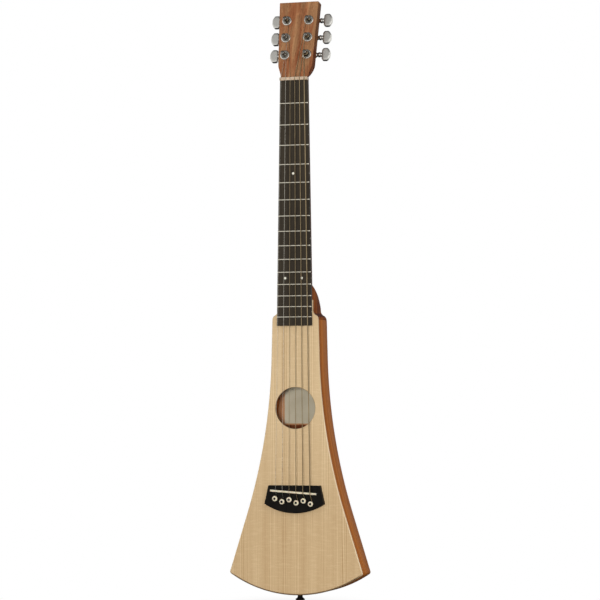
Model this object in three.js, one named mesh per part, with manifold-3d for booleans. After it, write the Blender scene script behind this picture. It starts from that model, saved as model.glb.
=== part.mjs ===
// A travel guitar with a narrow, flared body and six steel strings, strung left-handed.
// Millimetres. +Z runs up the neck, +Y towards the instrument's back, +X to the bass side.
// The origin lies on the centre line of the fingerboard's face, at the nut's front edge.
import * as THREE from "three";
import { mergeVertices } from "three/addons/utils/BufferGeometryUtils.js";
import Module from "manifold-3d";

const wasm = await Module();
wasm.setup();

const degree = Math.PI / 180;
const halfTurn = Math.PI;
const quarterTurn = halfTurn / 2;

// Clearances, and how far a cutting tool runs past what it cuts
const glueGap = 0.2;
const seatGap = 0.3;
const overrun = 3;

// Fingerboard, frets and nut
const scaleLength = 609.6;
const fretCount = 15;
const nutWidth = 42.9;
const fingerboardEndWidth = 54.3;
const fingerboardTail = 13;
const fingerboardThickness = 6;
const fingerboardRadius = 406;
const nutThickness = 4.8;
const nutHeight = 2.7;
const nutSlotHeight = 1.5;
const fretWidth = 2.2;
const fretHeight = 1;
const fretTangWidth = 0.6;
const fretTangDepth = 1.8;

// Body: its depth runs back from the fingerboard's underside, and its places along the neck are measured
// from the scale's end
const bodyDepth = 45;
const topThickness = 3;
const backThickness = 3;
const sideThickness = 2.5;
const bodyTail = 156.6;
const bodyLength = 408.7;
const shoulderLength = 14;
const tongueWidth = 55;
const tongueLength = 29.5;
const waistWidth = 72;
const waistLength = 57;
const waistAngle = 1.4 * degree;
const flareRadius = 835;
const flareAngle = 17.46 * degree;
const bottomRadius = 184;
const cornerRadius = 4;
const soundHoleRadius = 30.8;
const soundHoleRise = 121;

// Neck and heel, as depths of wood behind the fingerboard
const neckDepthAtNut = 12;
const neckDepthAtHeel = 16;
const heelLength = 51.5;
const heelFoot = 12.5;
const heelSwell = 2.5;
const neckBlockLength = 18;

// Head
const headTilt = 12 * degree;
const headFaceDrop = 4;
const headThickness = 16;
const headLength = 119.2;
const headEarWidth = 53.8;
const headEarLength = 22.2;
const headTopWidth = 61.4;

// Tuners: a worm on the knob's shaft turns a wheel on the string post
const postSpacing = 34.4;
const firstPost = 35.6;
const postPitch = 27.1;
const postRadius = 2.9;
const postWaistRadius = 2.3;
const postHeight = 13.5;
const postHoleHeight = 10.5;
const postHoleRadius = 0.8;
const bushingRadius = 4.6;
const washerRadius = 7.2;
const washerThickness = 1;
const hexRadius = 5.9;
const hexThickness = 1.6;
const caseDepth = 11.5;
const caseInner = 8;
const caseOuter = 6;
const caseBelow = 8;
const caseAbove = 12;
const caseWall = 2;
const wormOffset = 6;
const wheelTeeth = 14;
const wheelRadius = 3.6;
const wheelToothDepth = 0.6;
const wheelThickness = 4;
const wormCoreRadius = 1.3;
const wormThreadRadius = 0.5;
const wormTurns = 2;
const knobShaftRadius = 2;
const bossRadius = 4;
const bossEnd = 15;
const knobLength = 15;
const knobHeight = 20.3;
const knobThickness = 7;
const knobCollarRadius = 3.4;
const knobCollarLength = 1.6;

// Bridge, saddle and pins, placed from the scale's end
const bridgeFront = 6.2;
const bridgeFrontWidth = 80.6;
const bridgeWidth = 92.4;
const bridgeWing = 27.3;
const bridgeBelly = 13.8;
const bridgeThickness = 8.3;
const saddleLength = 72;
const saddleThickness = 3;
const saddleAngle = 3.9 * degree;
const saddleSetback = 3.95;
const saddleHeight = 5.5;
const saddleDepth = 4;
const bridgePinPitch = 11.08;
const pinRowOffset = 11.2;
const pinRowStagger = 3.8;
const pinShaftRadius = 2.4;
const pinTipRadius = 1.6;
const pinLength = 20;
const pinHeadRadius = 4;
const pinHeadRise = 2;
const pinHeadHeight = 2.6;
const bridgePlateWidth = 78;
const bridgePlateLength = 38;
const bridgePlateThickness = 2.5;

// Strings, from the high E on the left to the low E on the right
const stringNames = ["e", "b", "g", "d", "a", "low_e"];
const stringDiameters = [0.3, 0.41, 0.61, 0.81, 1.07, 1.35];
const stringLoops = [3, 3, 2, 2, 2, 2];
const stringSetShift = -1;
const nutStringPitch = 7.3;
const saddleStringPitch = 10.76;
const stringExitX = 1.8;
const stringExitZ = 3.5;
const stringRise = 0.8;
const ballRadius = 1.8;
const windingStart = 3.4;
const windingGap = 0.5;
const bendLength = 1.2;

// Inside the body
const braceWidth = 8;
const braceHeight = 10;
const lowerBraceRise = 47.6;
const tailBlockWidth = 60;
const tailBlockLength = 18;
const labelWidth = 62;
const labelHeight = 65;
const labelThickness = 0.3;
const labelShift = 1;
const labelDrop = 23.4;

// Strap button
const buttonNeckRadius = 3.8;
const buttonNeckLength = 2.5;
const buttonHeadRadius = 7;
const buttonFlareLength = 4;
const buttonHeadLength = 2.5;
const buttonScrewRadius = 1.6;
const buttonScrewHeadRadius = 3;
const buttonScrewHeadLength = 1.6;
const buttonScrewLength = 24;

// Facets
const ringSegments = 16;
const roundSegments = 12;
const smallSegments = 8;
const holeSegments = 40;
const arcSteps = 10;
const heelRings = 8;
const earRings = 5;
const crownSegments = 4;
const loopSteps = 24;
const stringSides = 6;
const neckSquareness = 2.3;
const blockSquareness = 24;
const threadSteps = 6;
const threadSides = 3;
const beadSteps = 3;
const bendSteps = 3;
const hexSides = 6;

// Places worked out from the sizes above
const topFace = fingerboardThickness;
const topBack = topFace + topThickness;
const backFace = topFace + bodyDepth;
const backInside = backFace - backThickness;
const bodyMiddle = topFace + bodyDepth / 2;
const bodyBottom = -scaleLength - bodyTail;
const shoulderBottom = bodyBottom + bodyLength;
const shoulderTop = shoulderBottom + shoulderLength;
const tongueTop = shoulderBottom + tongueLength;
const heelTop = shoulderBottom + heelLength;
const heelFull = shoulderBottom + heelFoot;
const neckBlockEnd = shoulderBottom - neckBlockLength;
const soundHoleZ = soundHoleRise - scaleLength;
const upperBraceZ = (neckBlockEnd + soundHoleZ + soundHoleRadius) / 2;
const lowerBraceZ = lowerBraceRise - scaleLength;
const labelBottom = soundHoleZ - labelDrop;
const fretZ = (fret) => -scaleLength * (1 - 2 ** (-fret / 12));
const fingerboardEnd = fretZ(fretCount) - fingerboardTail;
const fingerboardWidth = (z) =>
  nutWidth + ((fingerboardEndWidth - nutWidth) * Math.max(0, -z)) / -fingerboardEnd;
const crownDrop = (x) => fingerboardRadius - Math.sqrt(fingerboardRadius ** 2 - x ** 2);
const bridgeFace = topFace - bridgeThickness;
const saddleMiddle = -scaleLength - saddleSetback;
const saddleZ = (x) => saddleMiddle - (x - stringSetShift) * Math.tan(saddleAngle);
const smooth = (share) => share * share * (3 - 2 * share);
const mix = (from, to, share) => from + (to - from) * share;
const headBack = headThickness + glueGap;
const wormDepth = headBack + caseDepth / 2;

// Materials
const finish = (color, roughness, metalness = 0) =>
  new THREE.MeshStandardMaterial({ color, roughness, metalness });
const spruce = finish("#dcc094", 0.55);
const mahogany = finish("#8d5530", 0.5);
const darkWood = finish("#1d1b1a", 0.6);
const nickel = finish("#c9c2b2", 0.3, 1);
const bone = finish("#e9e1cd", 0.45);
const chrome = finish("#c9c9c6", 0.25, 1);
const steel = finish("#b9bbbd", 0.3, 1);
const bronze = finish("#b07a46", 0.35, 1);
const blackPlastic = finish("#161616", 0.4);
const braceWood = finish("#d9c39c", 0.7);
const paper = finish("#d8d2c4", 0.9);

// Turns a closed geometry into a solid whose faces point outwards.
function solid(geometry) {
  const bare = geometry.index ? geometry.toNonIndexed() : geometry.clone();
  for (const name of Object.keys(bare.attributes)) {
    if (name !== "position") bare.deleteAttribute(name);
  }
  const merged = mergeVertices(bare);
  const triVerts = new Uint32Array(merged.index.array);
  const vertProperties = merged.attributes.position.array;
  const made = new wasm.Manifold(new wasm.Mesh({ numProp: 3, vertProperties, triVerts }));
  if (made.volume() > 0) return made;
  triVerts.reverse();
  return new wasm.Manifold(new wasm.Mesh({ numProp: 3, vertProperties, triVerts }));
}

const joined = (...solids) => solids.reduce((all, next) => all.add(next));
const cutBy = (body, ...tools) => tools.reduce((rest, tool) => rest.subtract(tool), body);

function piece(name, body, material) {
  const { vertProperties, triVerts } = body.getMesh();
  const geometry = new THREE.BufferGeometry();
  geometry.setAttribute("position", new THREE.BufferAttribute(vertProperties, 3));
  geometry.setIndex(new THREE.BufferAttribute(triVerts, 1));
  geometry.computeVertexNormals();
  const mesh = new THREE.Mesh(geometry, material);
  mesh.name = name;
  return mesh;
}

// A solid box between two corners.
function block(low, high) {
  const size = high.map((value, axis) => value - low[axis]);
  const middle = high.map((value, axis) => (value + low[axis]) / 2);
  return solid(new THREE.BoxGeometry(...size).translate(...middle));
}

// An outline of [x, z] points, extruded from one depth y to another.
function plate(outline, front, back) {
  const shape = new THREE.Shape(outline.map(([x, z]) => new THREE.Vector2(x, z)));
  const geometry = new THREE.ExtrudeGeometry(shape, { depth: back - front, bevelEnabled: false });
  return solid(geometry.rotateX(quarterTurn).translate(0, back, 0));
}

// A turned piece about the Y axis, from [radius, y] points that start and end on the axis.
function turned(profile, segments = roundSegments) {
  return new THREE.LatheGeometry(
    profile.map(([radius, y]) => new THREE.Vector2(radius, y)),
    segments,
  );
}

// A round bar along Y between two depths.
function bar(x, z, radius, front, back, segments = roundSegments) {
  const geometry = new THREE.CylinderGeometry(radius, radius, back - front, segments);
  return solid(geometry.translate(x, (front + back) / 2, z));
}

// A skin over rings of points, closed by a flat fan at each end.
function loft(rings) {
  const count = rings[0].length;
  const position = rings.flat().flatMap((point) => point.toArray());
  const index = [];
  for (let ring = 1; ring < rings.length; ring += 1) {
    for (let side = 0; side < count; side += 1) {
      const next = (side + 1) % count;
      const [a, b] = [(ring - 1) * count + side, (ring - 1) * count + next];
      const [c, d] = [ring * count + side, ring * count + next];
      index.push(a, b, d, a, d, c);
    }
  }
  const last = (rings.length - 1) * count;
  for (let side = 2; side < count; side += 1) {
    index.push(0, side, side - 1, last, last + side - 1, last + side);
  }
  const geometry = new THREE.BufferGeometry();
  geometry.setAttribute("position", new THREE.Float32BufferAttribute(position, 3));
  return solid(geometry.setIndex(index));
}

// A round tube along points; each ring turns with the path and halves the bend there.
function tube(points, radius, sides) {
  const along = points.map((point, i) => {
    const ahead = points[Math.min(i + 1, points.length - 1)];
    return ahead.clone().sub(points[Math.max(i - 1, 0)]).normalize();
  });
  const across = new THREE.Vector3(1, 0, 0);
  if (Math.abs(across.dot(along[0])) > Math.SQRT1_2) across.set(0, 1, 0);
  const rings = points.map((point, i) => {
    across.addScaledVector(along[i], -across.dot(along[i])).normalize();
    const up = along[i].clone().cross(across);
    return Array.from({ length: sides }, (_, side) => {
      const angle = (2 * halfTurn * side) / sides;
      return point
        .clone()
        .addScaledVector(across, radius * Math.cos(angle))
        .addScaledVector(up, radius * Math.sin(angle));
    });
  });
  return loft(rings);
}

// Points of an arc of [x, z] about a centre.
function arc([x, z], radius, from, to, steps = arcSteps) {
  return Array.from({ length: steps + 1 }, (_, i) => {
    const angle = mix(from, to, i / steps);
    return [x + radius * Math.cos(angle), z + radius * Math.sin(angle)];
  });
}

// Body outline on the bass side from the neck joint down to the bottom, drawn in by inset.
// An S of two equal arcs makes the shoulder, then come the waist, the flare and the corner.
const shoulderShift = (waistWidth - tongueWidth) / 2;
const shoulderAngle = 2 * Math.atan(shoulderShift / shoulderLength);
const shoulderRadius = shoulderLength / 2 / Math.sin(shoulderAngle);

function shoulderEdge() {
  const high = [tongueWidth / 2 + shoulderRadius, shoulderTop];
  const low = [waistWidth / 2 - shoulderRadius, shoulderBottom];
  const bend = arcSteps / 2;
  return [
    ...arc(high, shoulderRadius, halfTurn, halfTurn + shoulderAngle, bend),
    ...arc(low, shoulderRadius, shoulderAngle, 0, bend).slice(1),
  ];
}

function bodyEdge(inset = 0) {
  const waist = [waistWidth / 2, shoulderBottom];
  const bend = [
    waist[0] + waistLength * Math.sin(waistAngle) + flareRadius * Math.cos(waistAngle),
    waist[1] - waistLength * Math.cos(waistAngle) + flareRadius * Math.sin(waistAngle),
  ];
  const flare = arc(bend, flareRadius + inset, halfTurn + waistAngle, halfTurn + flareAngle);
  const down = [Math.sin(flareAngle), -Math.cos(flareAngle)];
  const inward = [-Math.cos(flareAngle), -Math.sin(flareAngle)];
  const end = arc(bend, flareRadius, halfTurn + flareAngle, halfTurn + flareAngle, 1)[0];
  const heart = [0, bodyBottom + bottomRadius];
  const lead = [
    end[0] + cornerRadius * inward[0] - heart[0],
    end[1] + cornerRadius * inward[1] - heart[1],
  ];
  const slant = lead[0] * down[0] + lead[1] * down[1];
  const reach = (bottomRadius - cornerRadius) ** 2 - lead[0] ** 2 - lead[1] ** 2;
  const run = Math.sqrt(slant ** 2 + reach) - slant;
  const knee = [heart[0] + lead[0] + run * down[0], heart[1] + lead[1] + run * down[1]];
  const turn = Math.atan2(knee[1] - heart[1], knee[0] - heart[0]);
  return [
    [waist[0] - inset, waist[1]],
    ...flare,
    ...arc(knee, cornerRadius - inset, flareAngle, turn, arcSteps / 2),
    ...arc(heart, bottomRadius - inset, turn, -quarterTurn).slice(1),
  ];
}

// A whole outline from its bass half, which runs from the top to the centre line.
const mirrored = (edge) => [...edge, ...edge.slice(0, -1).reverse().map(([x, z]) => [-x, z])];

// One cross-section of the neck: flat in front, with a rounded or squared back.
function neckRing(halfWidth, front, depth, squareness, z) {
  return Array.from({ length: ringSegments + 1 }, (_, i) => {
    const angle = (halfTurn * i) / ringSegments;
    const wide = Math.abs(Math.cos(angle)) ** (2 / squareness);
    const deep = i % ringSegments ? Math.sin(angle) ** (2 / squareness) : 0;
    const side = Math.sign(ringSegments - 2 * i);
    return new THREE.Vector3(side * halfWidth * wide, front + depth * deep, z);
  });
}

// The head leans back from behind the nut. Its own frame has y into the wood and z up it.
const head = new THREE.Group();
head.position.set(0, headFaceDrop, nutThickness + glueGap);
head.rotation.x = -headTilt;
head.updateMatrix();

const tuners = [1, -1].flatMap((side) =>
  [0, 1, 2].map((row) => ({
    side,
    row,
    name: (side > 0 ? "bass" : "treble") + "_" + (row + 1),
    x: (side * postSpacing) / 2,
    z: firstPost + row * postPitch,
  })),
);

function headHalfWidth(z) {
  const ear = smooth(Math.min(1, Math.max(0, z / headEarLength)));
  const above = Math.max(0, z - headEarLength) / (headLength - headEarLength);
  return mix(nutWidth, mix(headEarWidth, headTopWidth, above), ear) / 2;
}

function headBlank() {
  const ears = Array.from({ length: earRings + 1 }, (_, i) => (headEarLength * i) / earRings);
  const rings = [-overrun, ...ears, headLength].map((z) => {
    const share = smooth(Math.min(1, Math.max(0, z / headEarLength)));
    const squareness = mix(neckSquareness, blockSquareness, share);
    const depth = mix(topFace + neckDepthAtNut - headFaceDrop, headThickness, share);
    return neckRing(headHalfWidth(z), 0, depth, squareness, z);
  });
  rings.forEach((ring) => ring.forEach((point) => point.applyMatrix4(head.matrix)));
  return loft(rings);
}

function postHole({ x, z }) {
  const radius = bushingRadius + seatGap;
  const tool = new THREE.CylinderGeometry(
    radius,
    radius,
    headThickness + 2 * overrun,
    roundSegments,
  );
  return solid(tool.translate(x, headThickness / 2, z).applyMatrix4(head.matrix));
}

function neck() {
  const blank = [
    neckRing(nutWidth / 2, topFace, neckDepthAtNut, neckSquareness, nutThickness + glueGap),
    neckRing(nutWidth / 2, topFace, neckDepthAtNut, neckSquareness, 0),
  ];
  for (let i = 0; i <= heelRings; i += 1) {
    const z = mix(heelTop, heelFull, i / heelRings);
    if (z <= shoulderTop) break;
    const depth = mix(neckDepthAtHeel, bodyDepth, 1 - (1 - i / heelRings) ** heelSwell);
    const squareness = mix(neckSquareness, blockSquareness, i / heelRings);
    blank.push(neckRing(fingerboardWidth(z) / 2, topFace, depth, squareness, z));
  }
  for (const [x, z] of shoulderEdge()) {
    blank.push(neckRing(x, topFace, bodyDepth, blockSquareness, z));
  }
  const blockHalf = waistWidth / 2 - sideThickness - seatGap;
  const neckBlock = block(
    [-blockHalf, topBack + glueGap, neckBlockEnd],
    [blockHalf, backInside - glueGap, shoulderBottom + overrun],
  );
  const nutSeat = block(
    [-nutWidth, topFace - headThickness, -overrun],
    [nutWidth, topFace, nutThickness + glueGap],
  );
  const topSeat = block(
    [-waistWidth, topFace - overrun, neckBlockEnd - overrun],
    [waistWidth, topBack + glueGap, tongueTop + glueGap],
  );
  const wood = joined(loft(blank), headBlank(), neckBlock);
  return cutBy(wood, nutSeat, topSeat, ...tuners.map(postHole));
}

// Fingerboard: a tapered, slightly crowned bar with a slot for each fret's tang.
function fingerboard() {
  const ring = (z) => {
    const halfWidth = fingerboardWidth(z) / 2;
    const crown = Array.from({ length: crownSegments + 1 }, (_, i) => {
      const x = halfWidth * (1 - (2 * i) / crownSegments);
      return new THREE.Vector3(x, crownDrop(x), z);
    });
    const under = fingerboardThickness - glueGap;
    return [
      ...crown,
      new THREE.Vector3(-halfWidth, under, z),
      new THREE.Vector3(halfWidth, under, z),
    ];
  };
  const slots = Array.from({ length: fretCount }, (_, i) => {
    const half = fretTangWidth / 2 + glueGap;
    const z = fretZ(i + 1);
    return block(
      [-fingerboardEndWidth, -overrun, z - half],
      [fingerboardEndWidth, fretTangDepth + glueGap, z + half],
    );
  });
  return cutBy(loft([ring(-glueGap), ring(fingerboardEnd)]), ...slots);
}

// Fret: a crowned bead over the fingerboard and a tang down into its slot.
function fret(number) {
  const z = fretZ(number);
  const halfLength = fingerboardWidth(z) / 2 - glueGap;
  const bead = Array.from({ length: beadSteps + 1 }, (_, i) => (halfTurn * i) / beadSteps);
  const rings = Array.from({ length: crownSegments + 1 }, (_, i) => {
    const x = halfLength * (1 - (2 * i) / crownSegments);
    const seat = crownDrop(x) - glueGap;
    return bead.map((angle) => {
      const rise = fretHeight * Math.sin(angle);
      return new THREE.Vector3(x, seat - rise, z + (fretWidth / 2) * Math.cos(angle));
    });
  });
  const tang = block(
    [-halfLength, -fretHeight / 2, z - fretTangWidth / 2],
    [halfLength, fretTangDepth, z + fretTangWidth / 2],
  );
  return joined(loft(rings), tang);
}

// Strings: where each one crosses the nut and the saddle, and where its pin stands.
const strings = stringNames.map((name, i) => {
  const place = i - (stringNames.length - 1) / 2;
  const saddleX = stringSetShift + place * saddleStringPitch;
  const pinX = stringSetShift + place * bridgePinPitch;
  const treble = i < stringNames.length / 2;
  return {
    name,
    diameter: stringDiameters[i],
    loops: stringLoops[i],
    nutX: stringSetShift + place * nutStringPitch,
    saddleX,
    pinX,
    pinZ: saddleZ(pinX) - pinRowOffset - (i % 2) * pinRowStagger,
    wound: i > 1,
    side: treble ? -1 : 1,
    row: treble ? i : stringNames.length - 1 - i,
  };
});

function nut() {
  const rim = nutWidth / 2;
  const outline = [[-rim, topFace - glueGap], [-rim, crownDrop(rim) - nutHeight]];
  for (const { nutX, diameter } of strings) {
    const half = diameter / 2 + glueGap;
    const lip = crownDrop(nutX) - nutHeight;
    const floor = crownDrop(nutX) - nutSlotHeight + glueGap;
    outline.push([nutX - half, lip], [nutX - half, floor]);
    outline.push([nutX + half, floor], [nutX + half, lip]);
  }
  outline.push([rim, crownDrop(rim) - nutHeight], [rim, topFace - glueGap]);
  const shape = new THREE.Shape(outline.map(([x, y]) => new THREE.Vector2(x, y)));
  const depth = nutThickness - glueGap;
  return solid(
    new THREE.ExtrudeGeometry(shape, { depth, bevelEnabled: false }).translate(0, 0, glueGap / 2),
  );
}

// Body: the top with its sound hole, the bent sides and the back.
const tongueEdge = [
  [tongueWidth / 2, tongueTop],
  ...shoulderEdge(),
];

// The well of a bridge pin, with the channel beside it that its string comes up through.
const channelRadius = Math.max(...stringDiameters) / 2 + seatGap;

function pinWells(front, back) {
  return strings.flatMap(({ pinX, pinZ }) => [
    bar(pinX, pinZ, pinShaftRadius + seatGap, front, back, smallSegments),
    bar(pinX + stringExitX, pinZ + stringExitZ, channelRadius, front, back, smallSegments),
  ]);
}

function soundboard() {
  const [front, back] = [topFace - overrun, topBack + overrun];
  const board = plate(mirrored([...tongueEdge, ...bodyEdge().slice(1)]), topFace, topBack);
  const hole = bar(0, soundHoleZ, soundHoleRadius, front, back, holeSegments);
  return cutBy(board, hole, ...pinWells(front, back));
}

function strapScrewHole(radius) {
  const length = tailBlockLength + sideThickness + 2 * overrun;
  const tool = new THREE.CylinderGeometry(radius, radius, length, smallSegments);
  tool.rotateX(quarterTurn).translate(0, bodyMiddle, bodyBottom - overrun + length / 2);
  return solid(tool);
}

// The body's outline from the heel's end down, for the sides and the back.
const belowHeel = (inset) =>
  mirrored(bodyEdge(inset)).map(([x, z]) => [x, Math.min(z, shoulderBottom - glueGap)]);

function bodySides() {
  const outline = [...belowHeel(0), ...belowHeel(sideThickness).reverse()];
  const band = plate(outline, topBack + glueGap, backInside - glueGap);
  return cutBy(band, strapScrewHole(buttonScrewRadius + seatGap));
}

const backPlate = () => plate(belowHeel(0), backInside, backFace);

// Width of the body's inside at a height, for the braces that cross it.
function insideHalfWidth(z) {
  const edge = bodyEdge(sideThickness + seatGap);
  const next = edge.findIndex(([, height]) => height < z);
  const [above, below] = [edge[next - 1], edge[next]];
  return mix(above[0], below[0], (above[1] - z) / (above[1] - below[1]));
}

function brace(z) {
  const half = insideHalfWidth(z + braceWidth / 2) - seatGap;
  const crest = braceHeight / 2;
  const profile = [
    [-half, topBack + glueGap],
    [-half, topBack + glueGap + crest / 2],
    [-half / 2, topBack + braceHeight],
    [half / 2, topBack + braceHeight],
    [half, topBack + glueGap + crest / 2],
    [half, topBack + glueGap],
  ];
  const shape = new THREE.Shape(profile.map(([x, y]) => new THREE.Vector2(x, y)));
  const wood = new THREE.ExtrudeGeometry(shape, { depth: braceWidth, bevelEnabled: false });
  return solid(wood.translate(0, 0, z - braceWidth / 2));
}

function tailBlock() {
  const radius = bottomRadius - sideThickness - seatGap;
  const heart = [0, bodyBottom + bottomRadius];
  const half = Math.asin(tailBlockWidth / 2 / radius);
  const bottom = arc(heart, radius, -quarterTurn - half, -quarterTurn + half, arcSteps / 2);
  const crest = bodyBottom + sideThickness + tailBlockLength;
  const outline = [[-tailBlockWidth / 2, crest], ...bottom, [tailBlockWidth / 2, crest]];
  const wood = plate(outline, topBack + glueGap, backInside - glueGap);
  return cutBy(wood, strapScrewHole(buttonScrewRadius + seatGap));
}

function label() {
  const half = labelWidth / 2;
  return block(
    [labelShift - half, backInside - glueGap - labelThickness, labelBottom],
    [labelShift + half, backInside - glueGap, labelBottom + labelHeight],
  );
}

// Bridge: a plate with a round belly, a slanted slot for the saddle and a well for each pin.
function bridge() {
  const front = bridgeFront - scaleLength;
  const wing = front - bridgeWing;
  const half = bridgeWidth / 2;
  const radius = (half ** 2 + bridgeBelly ** 2) / 2 / bridgeBelly;
  const sweep = Math.asin(half / radius);
  const heart = [0, wing - bridgeBelly + radius];
  const edge = [
    [bridgeFrontWidth / 2, front],
    ...arc(heart, radius, sweep - quarterTurn, -quarterTurn, arcSteps / 2),
  ];
  const wood = plate(mirrored(edge), bridgeFace, topFace - glueGap);
  const halfSlot = saddleLength / 2 + seatGap;
  const slot = new THREE.BoxGeometry(2 * halfSlot, 2 * saddleDepth, saddleThickness + 2 * seatGap);
  slot.rotateY(saddleAngle).translate(stringSetShift, bridgeFace, saddleMiddle);
  return cutBy(wood, solid(slot), ...pinWells(bridgeFace - overrun, topFace + overrun));
}

function bridgePlate() {
  const middle = saddleZ(0) - pinRowOffset - pinRowStagger / 2;
  const wood = block(
    [-bridgePlateWidth / 2, topBack + glueGap, middle - bridgePlateLength / 2],
    [
      bridgePlateWidth / 2,
      topBack + glueGap + bridgePlateThickness,
      middle + bridgePlateLength / 2,
    ],
  );
  return cutBy(wood, ...pinWells(topBack - overrun, topBack + bridgePlateThickness + overrun));
}

function saddle() {
  const steps = 2 * crownSegments;
  const half = saddleLength / 2;
  const crest = Array.from({ length: steps + 1 }, (_, i) => {
    const x = mix(-half, half, i / steps);
    return new THREE.Vector2(x, crownDrop(x) - saddleHeight);
  });
  const foot = bridgeFace + saddleDepth - seatGap;
  const shape = new THREE.Shape([
    new THREE.Vector2(-half, foot),
    ...crest,
    new THREE.Vector2(half, foot),
  ]);
  const blank = new THREE.ExtrudeGeometry(shape, { depth: saddleThickness, bevelEnabled: false });
  return solid(blank.translate(0, 0, -saddleThickness / 2));
}

function bridgePin() {
  const under = bridgeFace - pinHeadRise;
  const tip = bridgeFace + pinLength;
  const top = under - pinHeadHeight;
  const profile = [
    [0, tip],
    [pinTipRadius, tip],
    [pinShaftRadius, topFace],
    [pinShaftRadius, under],
    [pinHeadRadius, under],
    [pinHeadRadius, under - pinHeadHeight / 2],
    [pinHeadRadius * Math.SQRT1_2, top + pinHeadHeight / 8],
    [0, top],
  ];
  return solid(turned(profile));
}

// A string's route: ball end, up its channel, over the saddle, through the nut and round
// its post in rising loops, with one diameter of straight wire at the end.
function stringRoute({ nutX, saddleX, pinX, pinZ, diameter, loops, side, row }) {
  const radius = diameter / 2;
  const exit = [pinX + stringExitX, pinZ + stringExitZ];
  const ballY = topBack + glueGap + bridgePlateThickness + seatGap + ballRadius;
  const crestY = crownDrop(saddleX) - saddleHeight - glueGap - radius;
  const crestZ = saddleZ(saddleX) - saddleThickness / 2;
  const nutY = crownDrop(nutX) - nutSlotHeight - radius;
  const corners = [
    new THREE.Vector3(exit[0], ballY, exit[1]),
    new THREE.Vector3(exit[0], bridgeFace - stringRise, exit[1]),
    new THREE.Vector3(saddleX, crestY, crestZ),
    new THREE.Vector3(nutX, nutY, 0),
    new THREE.Vector3(nutX, nutY, nutThickness + glueGap),
  ];
  const leave = corners.at(-1).clone().applyMatrix4(head.matrix.clone().invert());
  const post = tuners.find((tuner) => tuner.side === side && tuner.row === row);
  const coil = postWaistRadius + seatGap + radius;
  const [dx, dz] = [post.x - leave.x, post.z - leave.z];
  const heading = Math.atan2(dz, dx) + side * Math.asin(coil / Math.hypot(dx, dz));
  const start = heading + side * quarterTurn;
  const pitch = diameter + windingGap;
  const low = windingStart + radius;
  const steps = loops * loopSteps;
  const turns = Array.from({ length: steps + 1 }, (_, i) => {
    const angle = start - (side * 2 * halfTurn * i) / loopSteps;
    return new THREE.Vector3(
      post.x + coil * Math.cos(angle),
      -(low + (pitch * i) / loopSteps),
      post.z + coil * Math.sin(angle),
    );
  });
  const tail = turns[steps].clone().sub(turns[steps - 1]).setLength(diameter);
  const end = turns[steps].clone().add(tail);
  const winding = [...turns, end].map((point) => point.applyMatrix4(head.matrix));
  return { corners, winding };
}

// Rounds each bend between two straight runs with a short curve.
function rounded(corners, reach) {
  const points = [corners[0]];
  for (let i = 1; i < corners.length - 1; i += 1) {
    const [before, corner, after] = [corners[i - 1], corners[i], corners[i + 1]];
    const enter = before.clone().sub(corner).setLength(reach).add(corner);
    const leave = after.clone().sub(corner).setLength(reach).add(corner);
    const curve = new THREE.QuadraticBezierCurve3(enter, corner, leave);
    points.push(...curve.getPoints(bendSteps));
  }
  return [...points, corners.at(-1)];
}

// Least gap between turns of a winding that lie half a loop or more apart on it.
function leastGap(winding, diameter) {
  let least = Infinity;
  winding.forEach((point, i) => {
    for (let j = i + loopSteps / 2; j < winding.length; j += 1) {
      least = Math.min(least, point.distanceTo(winding[j]) - diameter);
    }
  });
  return least;
}

function string(details) {
  const { corners, winding } = stringRoute(details);
  const gap = leastGap(winding, details.diameter);
  console.log("string " + details.name + ": least gap in its winding " + gap.toFixed(2) + " mm");
  const route = [...rounded([...corners, winding[0]], bendLength), ...winding.slice(1)];
  const ball = new THREE.SphereGeometry(ballRadius, smallSegments, smallSegments / 2);
  const [end] = corners;
  return joined(
    tube(route, details.diameter / 2, stringSides),
    solid(ball.translate(end.x, end.y, end.z)),
  );
}

// Strap button and its screw, on the body's end.
function strapButton() {
  const top = bodyBottom - seatGap;
  const flare = top - buttonNeckLength;
  const rim = flare - buttonFlareLength;
  const bottom = rim - buttonHeadLength;
  const bore = buttonScrewRadius + seatGap;
  const sink = buttonScrewHeadRadius + seatGap;
  const seat = bottom + buttonScrewHeadLength;
  const profile = [
    [bore, top],
    [buttonNeckRadius, top],
    [buttonNeckRadius, flare],
    [mix(buttonNeckRadius, buttonHeadRadius, Math.SQRT1_2), mix(flare, rim, Math.SQRT1_2)],
    [buttonHeadRadius, rim],
    [buttonHeadRadius, mix(rim, bottom, Math.SQRT1_2)],
    [mix(sink, buttonHeadRadius, Math.SQRT1_2), bottom],
    [sink, bottom],
    [sink, seat],
    [bore, seat],
    [bore, top],
  ];
  return solid(turned(profile).rotateX(quarterTurn).translate(0, bodyMiddle, 0));
}

function strapScrew() {
  const head = bodyBottom - seatGap - buttonNeckLength - buttonFlareLength - buttonHeadLength;
  const seat = head + buttonScrewHeadLength - seatGap;
  const tip = head + buttonScrewLength;
  const profile = [
    [0, head],
    [buttonScrewHeadRadius, head],
    [buttonScrewHeadRadius, seat],
    [buttonScrewRadius, seat],
    [buttonScrewRadius, tip - buttonScrewRadius],
    [0, tip],
  ];
  return solid(turned(profile, smallSegments).rotateX(quarterTurn).translate(0, bodyMiddle, 0));
}

// Tuner housing: a case behind the head, a boss towards the knob and a bushing through the
// wood with its washer and hexagon in front. It is bored for the post, the worm and the wheel.
const wheelFront = wormDepth - wheelThickness / 2;
const wheelBack = wormDepth + wheelThickness / 2;
const wormBore = wormCoreRadius + wormThreadRadius + seatGap;
const wormPitch = (2 * halfTurn * wheelRadius) / wheelTeeth;

function rod(from, to, z, radius, segments = smallSegments) {
  const geometry = new THREE.CylinderGeometry(radius, radius, Math.abs(to - from), segments);
  return solid(geometry.rotateZ(quarterTurn).translate((from + to) / 2, wormDepth, z));
}

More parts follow.
